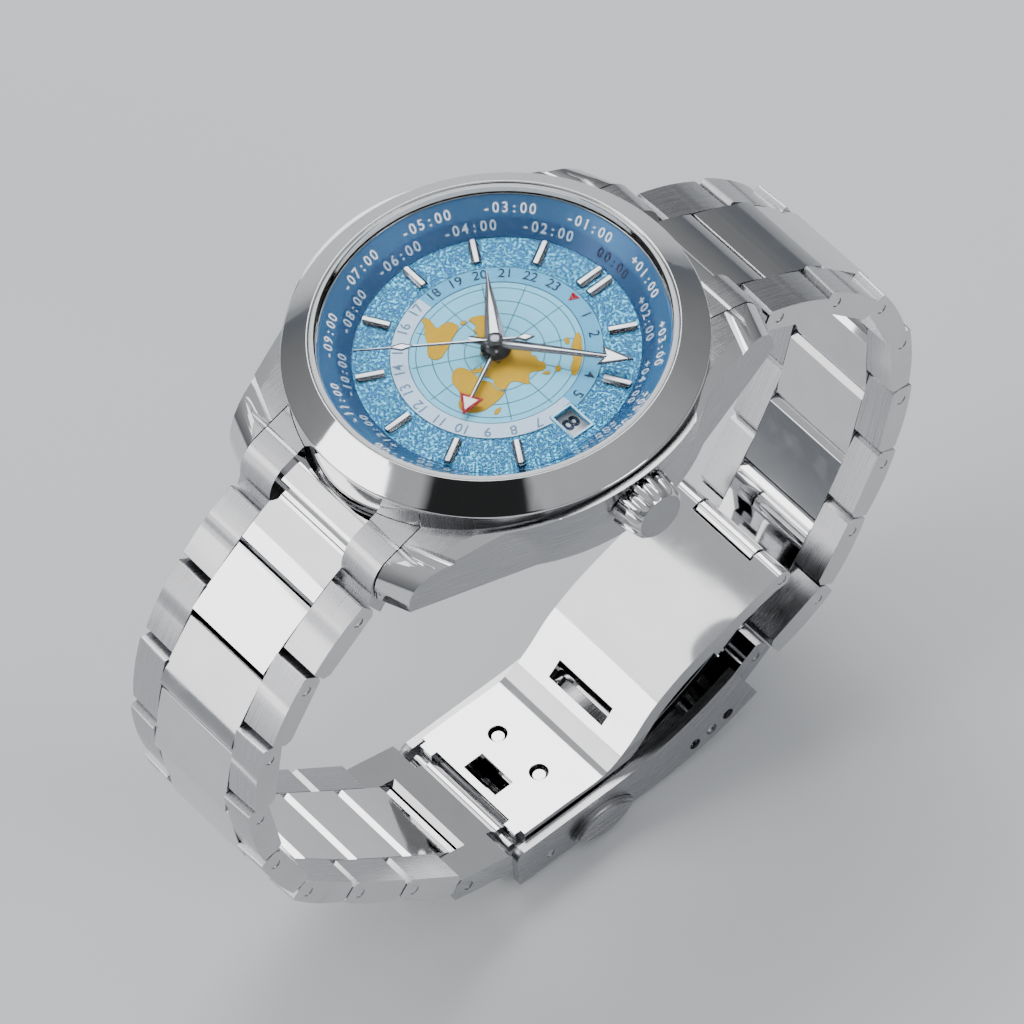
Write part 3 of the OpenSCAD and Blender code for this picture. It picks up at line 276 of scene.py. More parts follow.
# %% [markdown]
# ## Steel
# Brushing leaves fine parallel scratches. On a bracelet they run round the wrist, so the
# pattern is drawn in two distances that stay the same along a scratch: how far a point is
# from the middle of the wrist, and how far it is to the side. For the case the middle is
# moved so far down that the scratches run straight. Polish gets only faint smears.

# %% Groups for brushing and polish
wrist_middle = -27 * mm
side_facing = 0.7  # a normal with a larger part along x belongs to a side of a link
drift = 200  # how fast the pattern changes along a scratch
groove = 0.02 * mm


def make_brushing():
    group, given, made = start_group(
        "brushed_lines",
        [("Middle", wrist_middle), ("Fineness", 7000.0), ("Depth", 0.2), ("Rough", 0.3)],
        [("Mask", "Float"), ("Roughness", "Float"), ("Normal", "Vector")])
    where = add(group, "ShaderNodeTexCoord").outputs
    x, y, z = parts_of(group, where["Object"])
    drop = sum_of(group, "SUBTRACT", z, given["Middle"])
    square = sum_of(group, "ADD", sum_of(group, "MULTIPLY", drop, drop),
                    sum_of(group, "MULTIPLY", y, y))
    reach = sum_of(group, "SQRT", square)
    facing = sum_of(group, "ABSOLUTE", parts_of(group, where["Normal"])[0])
    side = sum_of(group, "GREATER_THAN", facing, side_facing)
    across = sum_of(group, "MULTIPLY_ADD", sum_of(group, "SUBTRACT", reach, x), side, x)
    pattern = vector_of(group, sum_of(group, "MULTIPLY", across, given["Fineness"]),
                        sum_of(group, "MULTIPLY", y, drift))
    lines = add(group, "ShaderNodeTexNoise", {
        "Vector": pattern, "Scale": 1.0, "Detail": 3.0, "Roughness": 0.6}).outputs["Fac"]
    swing = sum_of(group, "MULTIPLY", sum_of(group, "SUBTRACT", lines, 0.5), 0.2)
    bump = add(group, "ShaderNodeBump", {
        "Distance": groove, "Height": lines, "Strength": given["Depth"]})
    feed(group, made["Mask"], lines)
    feed(group, made["Roughness"], sum_of(group, "ADD", given["Rough"], swing))
    feed(group, made["Normal"], bump.outputs["Normal"])
    return group


def make_polish():
    group, given, made = start_group(
        "polish_smears", [("Rough", 0.06), ("Smear", 0.1), ("Scale", 300.0)],
        [("Mask", "Float"), ("Roughness", "Float")])
    where = add(group, "ShaderNodeTexCoord").outputs
    noise = add(group, "ShaderNodeTexNoise", {
        "Vector": where["Object"], "Scale": given["Scale"], "Detail": 4.0, "Roughness": 0.55})
    cloud = noise.outputs["Fac"]
    lift = sum_of(group, "MAXIMUM", sum_of(group, "SUBTRACT", cloud, 0.5), 0.0)
    smear = sum_of(group, "MULTIPLY", lift, given["Smear"])
    feed(group, made["Mask"], cloud)
    feed(group, made["Roughness"], sum_of(group, "ADD", given["Rough"], smear))
    return group


brushed_lines = make_brushing()
polish_smears = make_polish()
print("groups:", brushed_lines.name, polish_smears.name)

# %% Steel finishes
far_below = -3.0  # scratches about a middle so far away run straight


def brushed_steel(name, middle, rough, dark, light):
    material, tree, socket = start_material(name)
    lines = place_group(tree, brushed_lines, Middle=middle, Rough=rough)
    feed(tree, socket["Base Color"], blend_of(tree, lines["Mask"], dark, light))
    feed(tree, socket["Roughness"], lines["Roughness"])
    feed(tree, socket["Normal"], lines["Normal"])
    return material


def smeared(name, rough, metallic, scale):
    """Starts a material whose roughness has faint smears, and gives their mask too."""
    material, tree, socket = start_material(name, metallic)
    finish = place_group(tree, polish_smears, Rough=rough, Scale=scale)
    feed(tree, socket["Roughness"], finish["Roughness"])
    return material, tree, socket, finish["Mask"]


def polished(name, rough, dark, light, metallic=1.0):
    material, tree, socket, mask = smeared(name, rough, metallic, 300.0)
    feed(tree, socket["Base Color"], blend_of(tree, mask, dark, light))
    return material


link_steel = brushed_steel("link_steel", wrist_middle, 0.28, (0.32, 0.32, 0.33), (0.58, 0.58, 0.60))
case_steel = brushed_steel("case_steel", far_below, 0.26, (0.28, 0.28, 0.29), (0.52, 0.52, 0.54))
mirror_steel = polished("mirror_steel", 0.05, (0.60, 0.60, 0.61), (0.70, 0.70, 0.71))
satin_steel = polished("satin_steel", 0.24, (0.28, 0.28, 0.29), (0.38, 0.38, 0.39))
brass = polished("movement_brass", 0.25, (0.62, 0.45, 0.18), (0.78, 0.60, 0.28))
print("steels:", link_steel.name, case_steel.name, mirror_steel.name, satin_steel.name)

# %% [markdown]
# ## Edges that catch the light
# A solid from CAD has knife edges, and no real edge is that sharp. Several visible solids are
# copied, their loose triangles are merged and flat faces joined, and a narrow bevel runs along
# every sharp edge. Each copy then replaces its solid on screen.

# %% Softened copies of the solids
edge_angle, link_edge_angle = 28, 35  # an edge that bends by more degrees gets a bevel
bevel_segments = 2
flat_weight = 80  # how strongly big faces keep their own direction, from 1 to 100


def show_mesh(name, mesh, body, stands_for=()):
    piece = bpy.data.objects.new(name, mesh)
    bpy.context.scene.collection.objects.link(piece)
    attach(piece, body)
    if stands_for:
        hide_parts(*stands_for)
    return piece


def new_piece(name, shape, materials, body, stands_for=()):
    mesh = bpy.data.meshes.new(name)
    shape.to_mesh(mesh)
    shape.free()
    for material in materials:
        mesh.materials.append(material)
    return show_mesh(name, mesh, body, stands_for)


def bevelled(mesh, width, angle):
    """Bevels sharp edges. Big faces keep their own direction, so only the bevels bend light."""
    mesh.shade_smooth()
    holder = bpy.data.objects.new("bench", mesh)
    bpy.context.scene.collection.objects.link(holder)
    bevel = holder.modifiers.new("edges", "BEVEL")
    bevel.width = width
    bevel.segments = bevel_segments
    bevel.limit_method = "ANGLE"
    bevel.angle_limit = math.radians(angle)
    bevel.use_clamp_overlap = True
    weighted = holder.modifiers.new("normals", "WEIGHTED_NORMAL")
    weighted.mode = "FACE_AREA"
    weighted.weight = flat_weight
    graph = bpy.context.evaluated_depsgraph_get()
    result = bpy.data.meshes.new_from_object(holder.evaluated_get(graph))
    bpy.data.objects.remove(holder)
    return result


def merged_copy(node):
    shape = bmesh.new()
    shape.from_mesh(solids[node].data)
    bmesh.ops.remove_doubles(shape, verts=shape.verts, dist=0.0005 * mm)
    bmesh.ops.dissolve_limit(shape, angle_limit=math.radians(0.5), verts=shape.verts,
                             edges=shape.edges)
    mesh = bpy.data.meshes.new(node + "_copy")
    shape.to_mesh(mesh)
    shape.free()
    return mesh


def soften(node, width, paint, materials, angle=edge_angle):
    """Replaces a solid by a copy with bevelled edges; paint picks a material for a face."""
    mesh = bevelled(merged_copy(node), width, angle)
    for material in materials:
        mesh.materials.append(material)
    for face in mesh.polygons:
        face.material_index = paint(face.center / mm, face.normal)
    return show_mesh(node + "_finished", mesh, body_of[node], (node,))


def one_finish(place, normal):
    return 0


def case_paint(place, normal):
    """Polished on the turned bevels and on the ends, brushed on the flanks and along the top."""
    bevel = normal.z > 0.05 and abs(normal.x) > 0.05
    flank = abs(normal.x) > 0.5 and -0.5 < normal.z < 0.05
    return 0 if flank or (normal.z > 0.05 and not bevel) else 1


def crown_paint(place, normal):
    return 1 if normal.x > 0.9 else 0


case_piece = soften("case_middle", 0.1 * mm, case_paint, [case_steel, mirror_steel])
bezel_piece = soften("bezel", 0.06 * mm, one_finish, [mirror_steel])
crown_piece = soften("crown", 0.07 * mm, crown_paint, [mirror_steel, satin_steel])
for piece in (case_piece, bezel_piece, crown_piece):
    print(piece.name, "faces:", len(piece.data.polygons))

# %% [markdown]
# ## The bracelet
# Sixteen links are the same link, a little narrower towards the clasp, and turned about the
# next pin. So one master link is finished, and a Geometry Nodes tree sets it at each pin: it
# narrows the outer links, polishes the centre and the sides, brushes the outer tops, and
# turns it to the line between its two pins. The outer tops are pressed a little round.

# %% The tree that places a link


def link_tree():
    tree, given, sockets, made = start_shape_tree("place_link", (
        ("Link", "Geometry"), ("Centre Half Width", "Float"), ("Stretch", "Float"),
        ("Drop", "Float"), ("Side", "Float"), ("Pin", "Vector"),
        ("Polished", "Material"), ("Brushed", "Material")))
    x, y, z = parts_of(tree, add(tree, "GeometryNodeInputPosition").outputs[0])
    past = sum_of(tree, "SUBTRACT", sum_of(tree, "ABSOLUTE", x), given["Centre Half Width"])
    outer = add(tree, "FunctionNodeCompare", {0: past, 1: 0.0}, operation="GREATER_THAN")
    wider = sum_of(tree, "MULTIPLY_ADD", past, given["Stretch"], given["Centre Half Width"])
    new_x = sum_of(tree, "MULTIPLY", wider, sum_of(tree, "SIGN", x))
    narrow = add(tree, "GeometryNodeSetPosition", {
        "Geometry": given["Link"], "Selection": outer.outputs[0],
        "Position": vector_of(tree, new_x, y, z)})
    shiny = add(tree, "GeometryNodeSetMaterial", {
        "Geometry": narrow.outputs[0], "Material": given["Polished"]})
    normal_x = parts_of(tree, add(tree, "GeometryNodeInputNormal").outputs[0])[0]
    level = sum_of(tree, "SUBTRACT", 0.9, sum_of(tree, "ABSOLUTE", normal_x))
    outer_top = sum_of(tree, "MULTIPLY", past, sum_of(tree, "MAXIMUM", level, 0.0))
    rubbed = add(tree, "FunctionNodeCompare", {0: outer_top, 1: 0.0}, operation="GREATER_THAN")
    dull = add(tree, "GeometryNodeSetMaterial", {
        "Geometry": shiny.outputs[0], "Selection": rubbed.outputs[0], "Material": given["Brushed"]})
    back = sum_of(tree, "MULTIPLY", given["Drop"], -1.0)
    move = add(tree, "GeometryNodeTransform", {
        "Geometry": dull.outputs[0], "Translation": given["Pin"],
        "Rotation": vector_of(tree, back, 0.0, given["Side"])})
    real = add(tree, "GeometryNodeRealizeInstances", {0: move.outputs[0]})
    feed(tree, made, real.outputs[0])
    return tree, sockets


place_link, link_sockets = link_tree()
print("link tree:", len(place_link.nodes), "boxes")

# %% Running a tree on a mesh


def shaped(tree, sockets, mesh, values):
    """Runs a Geometry Nodes tree on a mesh and gives the result back as a plain mesh."""
    holder = bpy.data.objects.new("bench", mesh)
    bpy.context.scene.collection.objects.link(holder)
    nodes = holder.modifiers.new("nodes", "NODES")
    nodes.node_group = tree
    for label, value in values.items():
        nodes[sockets[label]] = value
    bpy.context.view_layer.update()
    graph = bpy.context.evaluated_depsgraph_get()
    result = bpy.data.meshes.new_from_object(holder.evaluated_get(graph))
    bpy.data.objects.remove(holder)
    return result


# %% The master link, finished once in its own frame
link_count = 8
centre_half = 5.43 * mm
past_centre = centre_half + 0.05 * mm  # what lies further out belongs to an outer link
top_skin, top_sink, top_strips = 0.4 * mm, 0.16 * mm, 8


def pins_of(side, last):
    names = ["link_%s_%d_hinge" % (side, k + 1) for k in range(link_count)] + [last]
    return [Vector(joints[name]["pos_m"]) for name in names]


pins_12, pins_6 = pins_of("12", "entry_link_hinge"), pins_of("6", "exit_link_hinge")


def drop_between(pin, next_pin):
    return math.atan2(pin.z - next_pin.z, abs(next_pin.y) - abs(pin.y))


def domed(mesh):
    """Cuts the outer tops into strips across the link and lets their two ends sink."""
    shape = bmesh.new()
    shape.from_mesh(mesh)
    outer = [vert.co.y for vert in shape.verts if abs(vert.co.x) > past_centre]
    near, far = min(outer), max(outer)
    top = max(vert.co.z for vert in shape.verts)
    for i in range(1, top_strips):
        everything = shape.verts[:] + shape.edges[:] + shape.faces[:]
        cut = near + (far - near) * i / top_strips
        bmesh.ops.bisect_plane(shape, geom=everything, plane_co=(0, cut, 0), plane_no=(0, 1, 0))
    for vert in shape.verts:
        if abs(vert.co.x) > past_centre and vert.co.z > top - top_skin:
            share = (2 * vert.co.y - near - far) / (far - near)
            vert.co.z -= top_sink * share * share
    shape.to_mesh(mesh)
    shape.free()
    return mesh


def master_link():
    mesh = merged_copy("link_12_1")
    turn = Matrix.Rotation(-drop_between(*pins_12[:2]), 4, "X")
    mesh.transform((Matrix.Translation(pins_12[0]) @ turn).inverted())
    return bevelled(domed(mesh), 0.12 * mm, link_edge_angle)


link_mesh = master_link()
master_half = max(v.co.x for v in link_mesh.vertices)
print("master link:", len(link_mesh.polygons), "faces,",
      round(2 * master_half / mm, 2), "mm wide")

# %% Set the sixteen links


def set_link(node, pin, next_pin, side):
    stretch = (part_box(node)[1].x - centre_half) / (master_half - centre_half)
    values = {
        "Centre Half Width": centre_half, "Stretch": stretch, "Drop": drop_between(pin, next_pin),
        "Side": side, "Pin": pin, "Polished": mirror_steel, "Brushed": link_steel,
    }
    mesh = shaped(place_link, link_sockets, link_mesh, values)
    return show_mesh(node + "_finished", mesh, node, (node,))


for k in range(link_count):
    set_link("link_12_%d" % (k + 1), pins_12[k], pins_12[k + 1], 0.0)
    set_link("link_6_%d" % (k + 1), pins_6[k], pins_6[k + 1], math.pi)
print("links set:", 2 * link_count)

# %% [markdown]
# ## End links and clasp
# The end links are brushed between the lugs, with a polished bar. The clasp's folding blades
# are bare polished strips, and its cover is brushed round the wrist, as the links are.

# %% End links and clasp pieces
bar_half = 5.42  # half the width of the polished bar, in millimetres
link_bevels = (("end_link_12", 0.2), ("end_link_6", 0.2), ("entry_link", 0.08), ("exit_link", 0.08))


def end_link_paint(place, normal):
    return 1 if abs(place.x) < bar_half else 0


for node, width in link_bevels:
    soften(node, width * mm, end_link_paint, [link_steel, mirror_steel], link_edge_angle)
for node in ("clasp_cover", "button_right", "button_left"):
    soften(node, 0.08 * mm, one_finish, [link_steel])
for node in ("inner_arm", "outer_arm"):
    soften(node, 0.06 * mm, one_finish, [mirror_steel])
print("clasp pieces finished")

# %% [markdown]
# ## Paints of the dial
# The dial is lacquered metal. Its outer field is hammered, which a fine bump on the shader
# gives at the right grain, because each pit is about a quarter of a millimetre. The world,
# the hour ring and the flange are smooth paint with a faint cloud in it, so that they never
# look flat. The flange's two tones are painted shade and light: its inner band, on the dial's
# side, is painted darker and its outer band lighter.

# %% Dial paints
paint_gloss = 0.1
pits_per_metre, pit_depth = 3900.0, 0.09 * mm
# the radius where the flange's painted shade gives way to its painted light
shade_edge_r, edge_blur = 15.3 * mm, 0.02 * mm


def paint_of(name, dark, light, rough=0.35, metallic=0.0, scale=900.0):
    material, tree, socket, mask = smeared(name, rough, metallic, scale)
    feed(tree, socket["Base Color"], blend_of(tree, mask, dark, light))
    socket["Specular IOR Level"].default_value = paint_gloss
    return material


def stepped_paint(name, inner, outer, edge_r):
    """A ring painted in two tones, shade and light: `inner` up to the radius edge_r, `outer` beyond it."""
    material, tree, socket, mask = smeared(name, 0.3, 0.2, 900.0)
    socket["Specular IOR Level"].default_value = paint_gloss
    socket["Coat Weight"].default_value = 0.1
    place = add(tree, "ShaderNodeTexCoord").outputs["Object"]
    flat = add(tree, "ShaderNodeVectorMath", {0: place, 1: (1, 1, 0)}, operation="MULTIPLY")
    reach = add(tree, "ShaderNodeVectorMath", {0: flat.outputs[0]}, operation="LENGTH")
    step = add(tree, "ShaderNodeMapRange", {
        "Value": reach.outputs["Value"],
        "From Min": edge_r - edge_blur, "From Max": edge_r + edge_blur})
    tones = [blend_of(tree, mask, *pair) for pair in (inner, outer)]
    feed(tree, socket["Base Color"], blend_of(tree, step.outputs[0], *tones))
    return material


def hammered_paint(name, dark, light):
    material, tree, socket = start_material(name, 0.55)
    pits = add(tree, "ShaderNodeTexNoise", {
        "Vector": add(tree, "ShaderNodeTexCoord").outputs["Object"],
        "Scale": pits_per_metre, "Detail": 1.5, "Roughness": 0.55})
    ramp = add(tree, "ShaderNodeMapRange", {
        "Value": pits.outputs["Fac"], "From Min": 0.41, "From Max": 0.59})
    bump = add(tree, "ShaderNodeBump", {
        "Height": ramp.outputs[0], "Strength": 1.0, "Distance": pit_depth})
    feed(tree, socket["Base Color"], blend_of(tree, ramp.outputs[0], dark, light))
    feed(tree, socket["Normal"], bump.outputs["Normal"])
    socket["Roughness"].default_value = 0.33
    return material


dial_field = hammered_paint("hammered_blue", (0.008, 0.11, 0.29), (0.08, 0.46, 0.69))
sea_paint = paint_of("sea_paint", (0.17, 0.60, 0.84), (0.22, 0.67, 0.89), 0.4)
night_paint = paint_of("night_ring_paint", (0.06, 0.38, 0.66), (0.10, 0.45, 0.72), 0.35)
day_paint = paint_of("day_ring_paint", (0.50, 0.68, 0.88), (0.58, 0.75, 0.92), 0.35)
land_paint = paint_of("land_paint", (0.32, 0.18, 0.0), (0.48, 0.29, 0.0), 0.42, 0.3, scale=2500.0)
navy_ink = paint_of("navy_ink", (0.01, 0.03, 0.07), (0.02, 0.05, 0.10), 0.4)
pale_ink = paint_of("pale_ink", (0.10, 0.20, 0.33), (0.15, 0.26, 0.40), 0.4)
# This ink prints the map lines and also paints the shadow lines at the hour ring's steps.
grid_and_shadow_ink = paint_of("grid_and_shadow_ink", (0.01, 0.08, 0.14), (0.03, 0.12, 0.19), 0.4)
red_ink = paint_of("red_ink", (0.24, 0.0, 0.008), (0.34, 0.0, 0.012), 0.35)
dusk_ink = paint_of("dusk_ink", (0.006, 0.003, 0.014), (0.010, 0.005, 0.022), 0.4)
soft_ink = paint_of("soft_ink", (0.38, 0.50, 0.60), (0.46, 0.57, 0.66), 0.4)
white_ink = paint_of("white_ink", (0.78, 0.80, 0.83), (0.86, 0.88, 0.90), 0.4)
# Painted shade and light: the flange's inner band is painted darker and its outer band lighter, as light falls
# unevenly on its two slopes.
flange_shade_paint = stepped_paint("flange_shade_paint", ((0.005, 0.052, 0.145), (0.009, 0.070, 0.185)),
                             ((0.018, 0.095, 0.23), (0.028, 0.125, 0.27)), shade_edge_r)
window_paint = paint_of("window_paint", (0.30, 0.55, 0.75), (0.40, 0.66, 0.84), 0.25, 0.3)
black_hub = polished("black_hub", 0.08, (0.01, 0.01, 0.012), (0.02, 0.02, 0.022))
print("paints ready")

# %% [markdown]
# ## The world on the dial
# The map is seen from above the north pole, with Africa towards 5 o'clock. Latitude becomes
# distance from the middle and longitude becomes an angle, so a coast is a short list of
# places. Smoothing rounds the coasts, and a small height lets the land cast its own edge.

# %% Measures of the dial
dial_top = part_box("dial")[1].z
globe_r = 8.45 * mm
ring_out_r = 10.2 * mm
print_t = 0.03 * mm
pole_turn = 170
per_degree = 0.0605 * mm
window_low, window_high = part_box("date_frame")
sector_step = 2.0  # degrees
print("dial top at", round(dial_top / mm, 2), "mm")


def on_clock(radius, degrees):
    """A point at an angle that runs clockwise from 12 o'clock."""
    turn = math.radians(degrees)
    return Vector((radius * math.sin(turn), radius * math.cos(turn), 0))


def sector(shape, inner, outer, start, end, low, high):
    """A flat ring sector with its top and walls; a full turn closes on itself."""
    count = max(2, round((end - start) / sector_step))
    closed = end - start >= 360
    rows = []
    for i in range(count if closed else count + 1):
        angle = start + (end - start) * i / count
        rows.append([shape.verts.new(on_clock(r, angle) + Vector((0, 0, z)))
                     for r, z in ((inner, low), (inner, high), (outer, high), (outer, low))])
    pairs = list(zip(rows, rows[1:])) + ([(rows[-1], rows[0])] if closed else [])
    for row, following in pairs:
        for i in range(4):
            shape.faces.new((row[i], row[(i + 1) % 4], following[(i + 1) % 4], following[i]))
    if not closed:
        shape.faces.new(rows[0])
        shape.faces.new(reversed(rows[-1]))


def outward(shape):
    bmesh.ops.recalc_face_normals(shape, faces=shape.faces)
    return shape


# %% Sea disc and the two halves of the hour ring
hub_hole_r = 1.45 * mm
ring_low = dial_top
ring_high = dial_top + 2 * print_t
window_turn = math.degrees(math.asin(window_high.y / window_low.x)) + 0.3


def ring_half(name, spans, material):
    shape = bmesh.new()
    for start, end, outer in spans:
        sector(shape, globe_r, outer, start, end, ring_low, ring_high)
    return new_piece(name, outward(shape), [material], "case")


def sea():
    shape = bmesh.new()
    sector(shape, hub_hole_r, globe_r - 0.06 * mm, 0, 360, ring_low, dial_top + print_t)
    return new_piece("sea_disc", outward(shape), [sea_paint], "case")


beside_window = window_low.x - 0.05 * mm
night_from = 262.5
window_gap = 1.5
window_from, window_to = 90 - window_turn, 90 + window_turn  # degrees that the window takes
sea()
ring_half("night_ring", [(night_from, 360 + window_from, ring_out_r)], night_paint)
ring_half("day_ring", [(window_from, window_to, min(ring_out_r, beside_window)),
                       (window_to, night_from, ring_out_r)], day_paint)


def ring_edges():
    """Painted shadow lines at both edges of the hour ring, where its steps cast shade; open where the date window
    cuts it.
    """
    shape = bmesh.new()
    high = ring_high + 0.01 * mm
    # Painted shadow: dark bands where the steps at the hour ring's edges cast shade.
    sector(shape, globe_r - 0.04 * mm, globe_r + 0.04 * mm, 0, 360, ring_low, high)
    sector(shape, ring_out_r - 0.02 * mm, ring_out_r + 0.07 * mm,
           window_to + window_gap, 360 + window_from - window_gap, ring_low, high)
    return new_piece("ring_edges", outward(shape), [grid_and_shadow_ink], "case")


ring_edges()
print("hour ring from", round(globe_r / mm, 2), "to", round(ring_out_r / mm, 2), "mm")

# %% Land


def smoothed(points):
    """Cuts each corner of a closed outline."""
    pairs = zip(points, points[1:] + points[:1])
    return [a.lerp(b, share) for a, b in pairs for share in (0.25, 0.75)]


def on_map(latitude, longitude):
    return on_clock(per_degree * (90 - latitude), pole_turn - longitude)


coasts = [
    [(31, 32), (22, 37), (12, 44), (11, 51), (-3, 43), (-14, 36), (-25, 31), (-32, 24), (-37, 16),
     (-29, 9), (-11, 6), (-2, -1), (-1, -9), (5, -17), (15, -25), (27, -26), (36, -12), (36, 2),
     (33, 12), (31, 20)],
    [(37, -9), (43, -9), (48, -4), (54, 8), (58, 6), (64, 10), (71, 25), (67, 42), (68, 60),
     (74, 85), (75, 110), (71, 140), (70, 170), (65, 188), (60, 170), (52, 157), (60, 150),
     (54, 138), (43, 134), (40, 127), (33, 129), (36, 119), (26, 121), (22, 112), (10, 113),
     (3, 104), (11, 98), (17, 96), (22, 90), (14, 82), (4, 78), (19, 71), (25, 66), (25, 58),
     (15, 52), (14, 44), (28, 35), (36, 36), (37, 27), (42, 28), (38, 22), (44, 14), (38, 16),
     (44, 9), (42, 3), (37, -1)],
    [(60, -165), (71, -157), (70, -128), (56, -121), (40, -119), (22, -128), (12, -124), (9, -115),
     (8, -106), (18, -107), (30, -109), (31, -100), (43, -102), (42, -87), (50, -79), (60, -82),
     (69, -89), (62, -110)],
    [(-51, -81), (-46, -84), (-33, -83), (-18, -78), (-15, -86), (-7, -92), (2, -92), (9, -93),
     (14, -80), (12, -70), (14, -63), (8, -53), (0, -44), (-12, -45), (-20, -50), (-22, -62),
     (-32, -70), (-38, -77)],
    [(6, -95), (5, -101), (11, -104), (13, -97)],
    [(61, -45), (72, -55), (79, -68), (83, -35), (74, -20)],
    [(-37, 108), (-31, 114), (-34, 120), (-27, 127), (-30, 136), (-42, 145), (-46, 141), (-45, 133),
     (-47, 125), (-47, 116), (-47, 108), (-42, 106)],
    [(-32, 38), (-23, 39), (-18, 44), (-27, 43), (-33, 40)],
    [(-18, 141), (-25, 142), (-27, 136), (-20, 134)],
    [(-11, 105), (-9, 112), (-18, 112), (-20, 106)],
    [(5, 96), (-8, 100), (-3, 104), (3, 101)],
    [(44, 144), (35, 139), (33, 131), (38, 138)],
    [(58, -4), (51, 1), (51, -5)],
]
land_height, shore_width, shore_rise = 0.07 * mm, 0.05 * mm, 0.02 * mm


def raised(shape, face, height):
    """Pulls a flat face up into a plate and gives its top."""
    lifted = bmesh.ops.extrude_face_region(shape, geom=[face])["geom"]
    corners = [item for item in lifted if isinstance(item, bmesh.types.BMVert)]
    bmesh.ops.translate(shape, verts=corners, vec=(0, 0, height))
    return [item for item in lifted if isinstance(item, bmesh.types.BMFace)]


def land():
    shape = bmesh.new()
    low = dial_top + print_t
    for coast in coasts:
        outline = [p for p in smoothed([on_map(*place) for place in coast]) if p.length < globe_r]
        rim = [shape.verts.new(p + Vector((0, 0, low))) for p in outline]
        top = raised(shape, shape.faces.new(rim), land_height)
        bmesh.ops.inset_region(shape, faces=top, thickness=shore_width, depth=shore_rise)
    bmesh.ops.triangulate(shape, faces=[face for face in shape.faces if len(face.verts) > 4])
    return new_piece("land_relief", outward(shape), [land_paint], "case")


land_piece = land()
print("land faces:", len(land_piece.data.polygons))

# %% [markdown]
# ## Lines of the map
# The circles of latitude and the meridians repeat by a rule, so a Geometry Nodes tree draws
# them from a few numbers: how many circles, how many meridians, how far they reach and how
# wide a line is. A tree on a mesh has to take a shape in, so its first input stays unused.

# %% The graticule tree


def instances(tree, points, shape, **inputs):
    """Sets a copy of a shape on every point of a list that has no places of its own."""
    line = add(tree, "GeometryNodeMeshLine", {"Count": points, "Offset": (0, 0, 0)})
    inputs.update(Points=line.outputs[0], Instance=shape)
    return add(tree, "GeometryNodeInstanceOnPoints", inputs).outputs[0]


def graticule_tree():
    tree, given, sockets, made = start_shape_tree("map_lines", (
        ("Start", "Geometry"), ("Radius", "Float"), ("Circles", "Int"), ("Meridians", "Int"),
        ("Hub", "Float"), ("Reach", "Float"), ("Line Width", "Float"), ("Height", "Float"),
        ("Ink", "Material")))
    index = add(tree, "GeometryNodeInputIndex").outputs[0]
    circle = add(tree, "GeometryNodeCurvePrimitiveCircle", {"Resolution": 120, "Radius": 1.0})
    share = sum_of(tree, "DIVIDE", sum_of(tree, "ADD", index, 1.0), given["Circles"])
    size = sum_of(tree, "MULTIPLY", share, given["Radius"])
    rings = instances(tree, given["Circles"], circle.outputs[0],
                      Scale=vector_of(tree, size, size, size))
    spoke = add(tree, "GeometryNodeCurvePrimitiveLine", {
        "Start": vector_of(tree, 0.0, given["Hub"]), "End": vector_of(tree, 0.0, given["Reach"])})
    turn = sum_of(tree, "MULTIPLY", index, sum_of(tree, "DIVIDE", 2 * math.pi, given["Meridians"]))
    spokes = instances(tree, given["Meridians"], spoke.outputs[0],
                       Rotation=vector_of(tree, 0.0, 0.0, turn))
    both = add(tree, "GeometryNodeJoinGeometry")
    feed(tree, both.inputs[0], rings)
    feed(tree, both.inputs[0], spokes)
    real = add(tree, "GeometryNodeRealizeInstances", {0: both.outputs[0]})
    nib = add(tree, "GeometryNodeCurvePrimitiveCircle", {
        "Resolution": 6, "Radius": sum_of(tree, "MULTIPLY", given["Line Width"], 0.5)})
    draw = add(tree, "GeometryNodeCurveToMesh", {
        "Curve": real.outputs[0], "Profile Curve": nib.outputs[0], "Fill Caps": True})
    lift = add(tree, "GeometryNodeTransform", {
        "Geometry": draw.outputs[0], "Translation": vector_of(tree, 0.0, 0.0, given["Height"])})
    ink = add(tree, "GeometryNodeSetMaterial", {
        "Geometry": lift.outputs[0], "Material": given["Ink"]})
    feed(tree, made, ink.outputs[0])
    return tree, sockets


map_lines, line_sockets = graticule_tree()
line_mesh = shaped(map_lines, line_sockets, bpy.data.meshes.new("empty"), {
    "Radius": 7.75 * mm, "Circles": 5, "Meridians": 12, "Hub": 1.6 * mm, "Reach": 8.2 * mm,
    "Line Width": 0.085 * mm, "Height": dial_top + print_t, "Ink": grid_and_shadow_ink})
show_mesh("map_lines", line_mesh, "case")
print("map lines:", len(line_mesh.polygons), "faces")

# %% [markdown]
# ## Numbers
# Each number is a text curve turned into a thin mesh and laid on the ring with its top
# outwards. The hours run clockwise from the red triangle. The flange carries plain time
# offsets in two rows, the odd hours outside and the even ones inside. The zero is dark.

# %% Laying numbers on a ring
per_hour = 15  # degrees on a 24 hour ring
hour_size, hour_r = 1.5 * mm, 9.43 * mm


def letters(words, size, depth, weight=0.0):
    curve = bpy.data.curves.new("letters", "FONT")
    curve.body = words
    curve.size = size
    curve.align_x = "CENTER"
    curve.align_y = "CENTER"
    curve.extrude = depth / 2
    curve.offset = weight
    curve.resolution_u = 4
    holder = bpy.data.objects.new("letters", curve)
    bpy.context.scene.collection.objects.link(holder)
    bpy.context.view_layer.update()
    graph = bpy.context.evaluated_depsgraph_get()
    mesh = bpy.data.meshes.new_from_object(holder.evaluated_get(graph))
    bpy.data.objects.remove(holder)
    return mesh


def lay(shape, mesh, radius, degrees, height, tilt=0.0, stretch=1.0):
    turn = Matrix.Rotation(-math.radians(degrees), 4, "Z")
    mesh.transform(turn @ Matrix.Translation((0, radius, height))
                   @ Matrix.Rotation(tilt, 4, "X") @ Matrix.Diagonal((stretch, 1, 1, 1)))
    shape.from_mesh(mesh)


def paint_new(shape, before, index):
    """Gives a finish to the faces that weren't in the shape before."""
    for face in set(shape.faces) - before:
        face.material_index = index


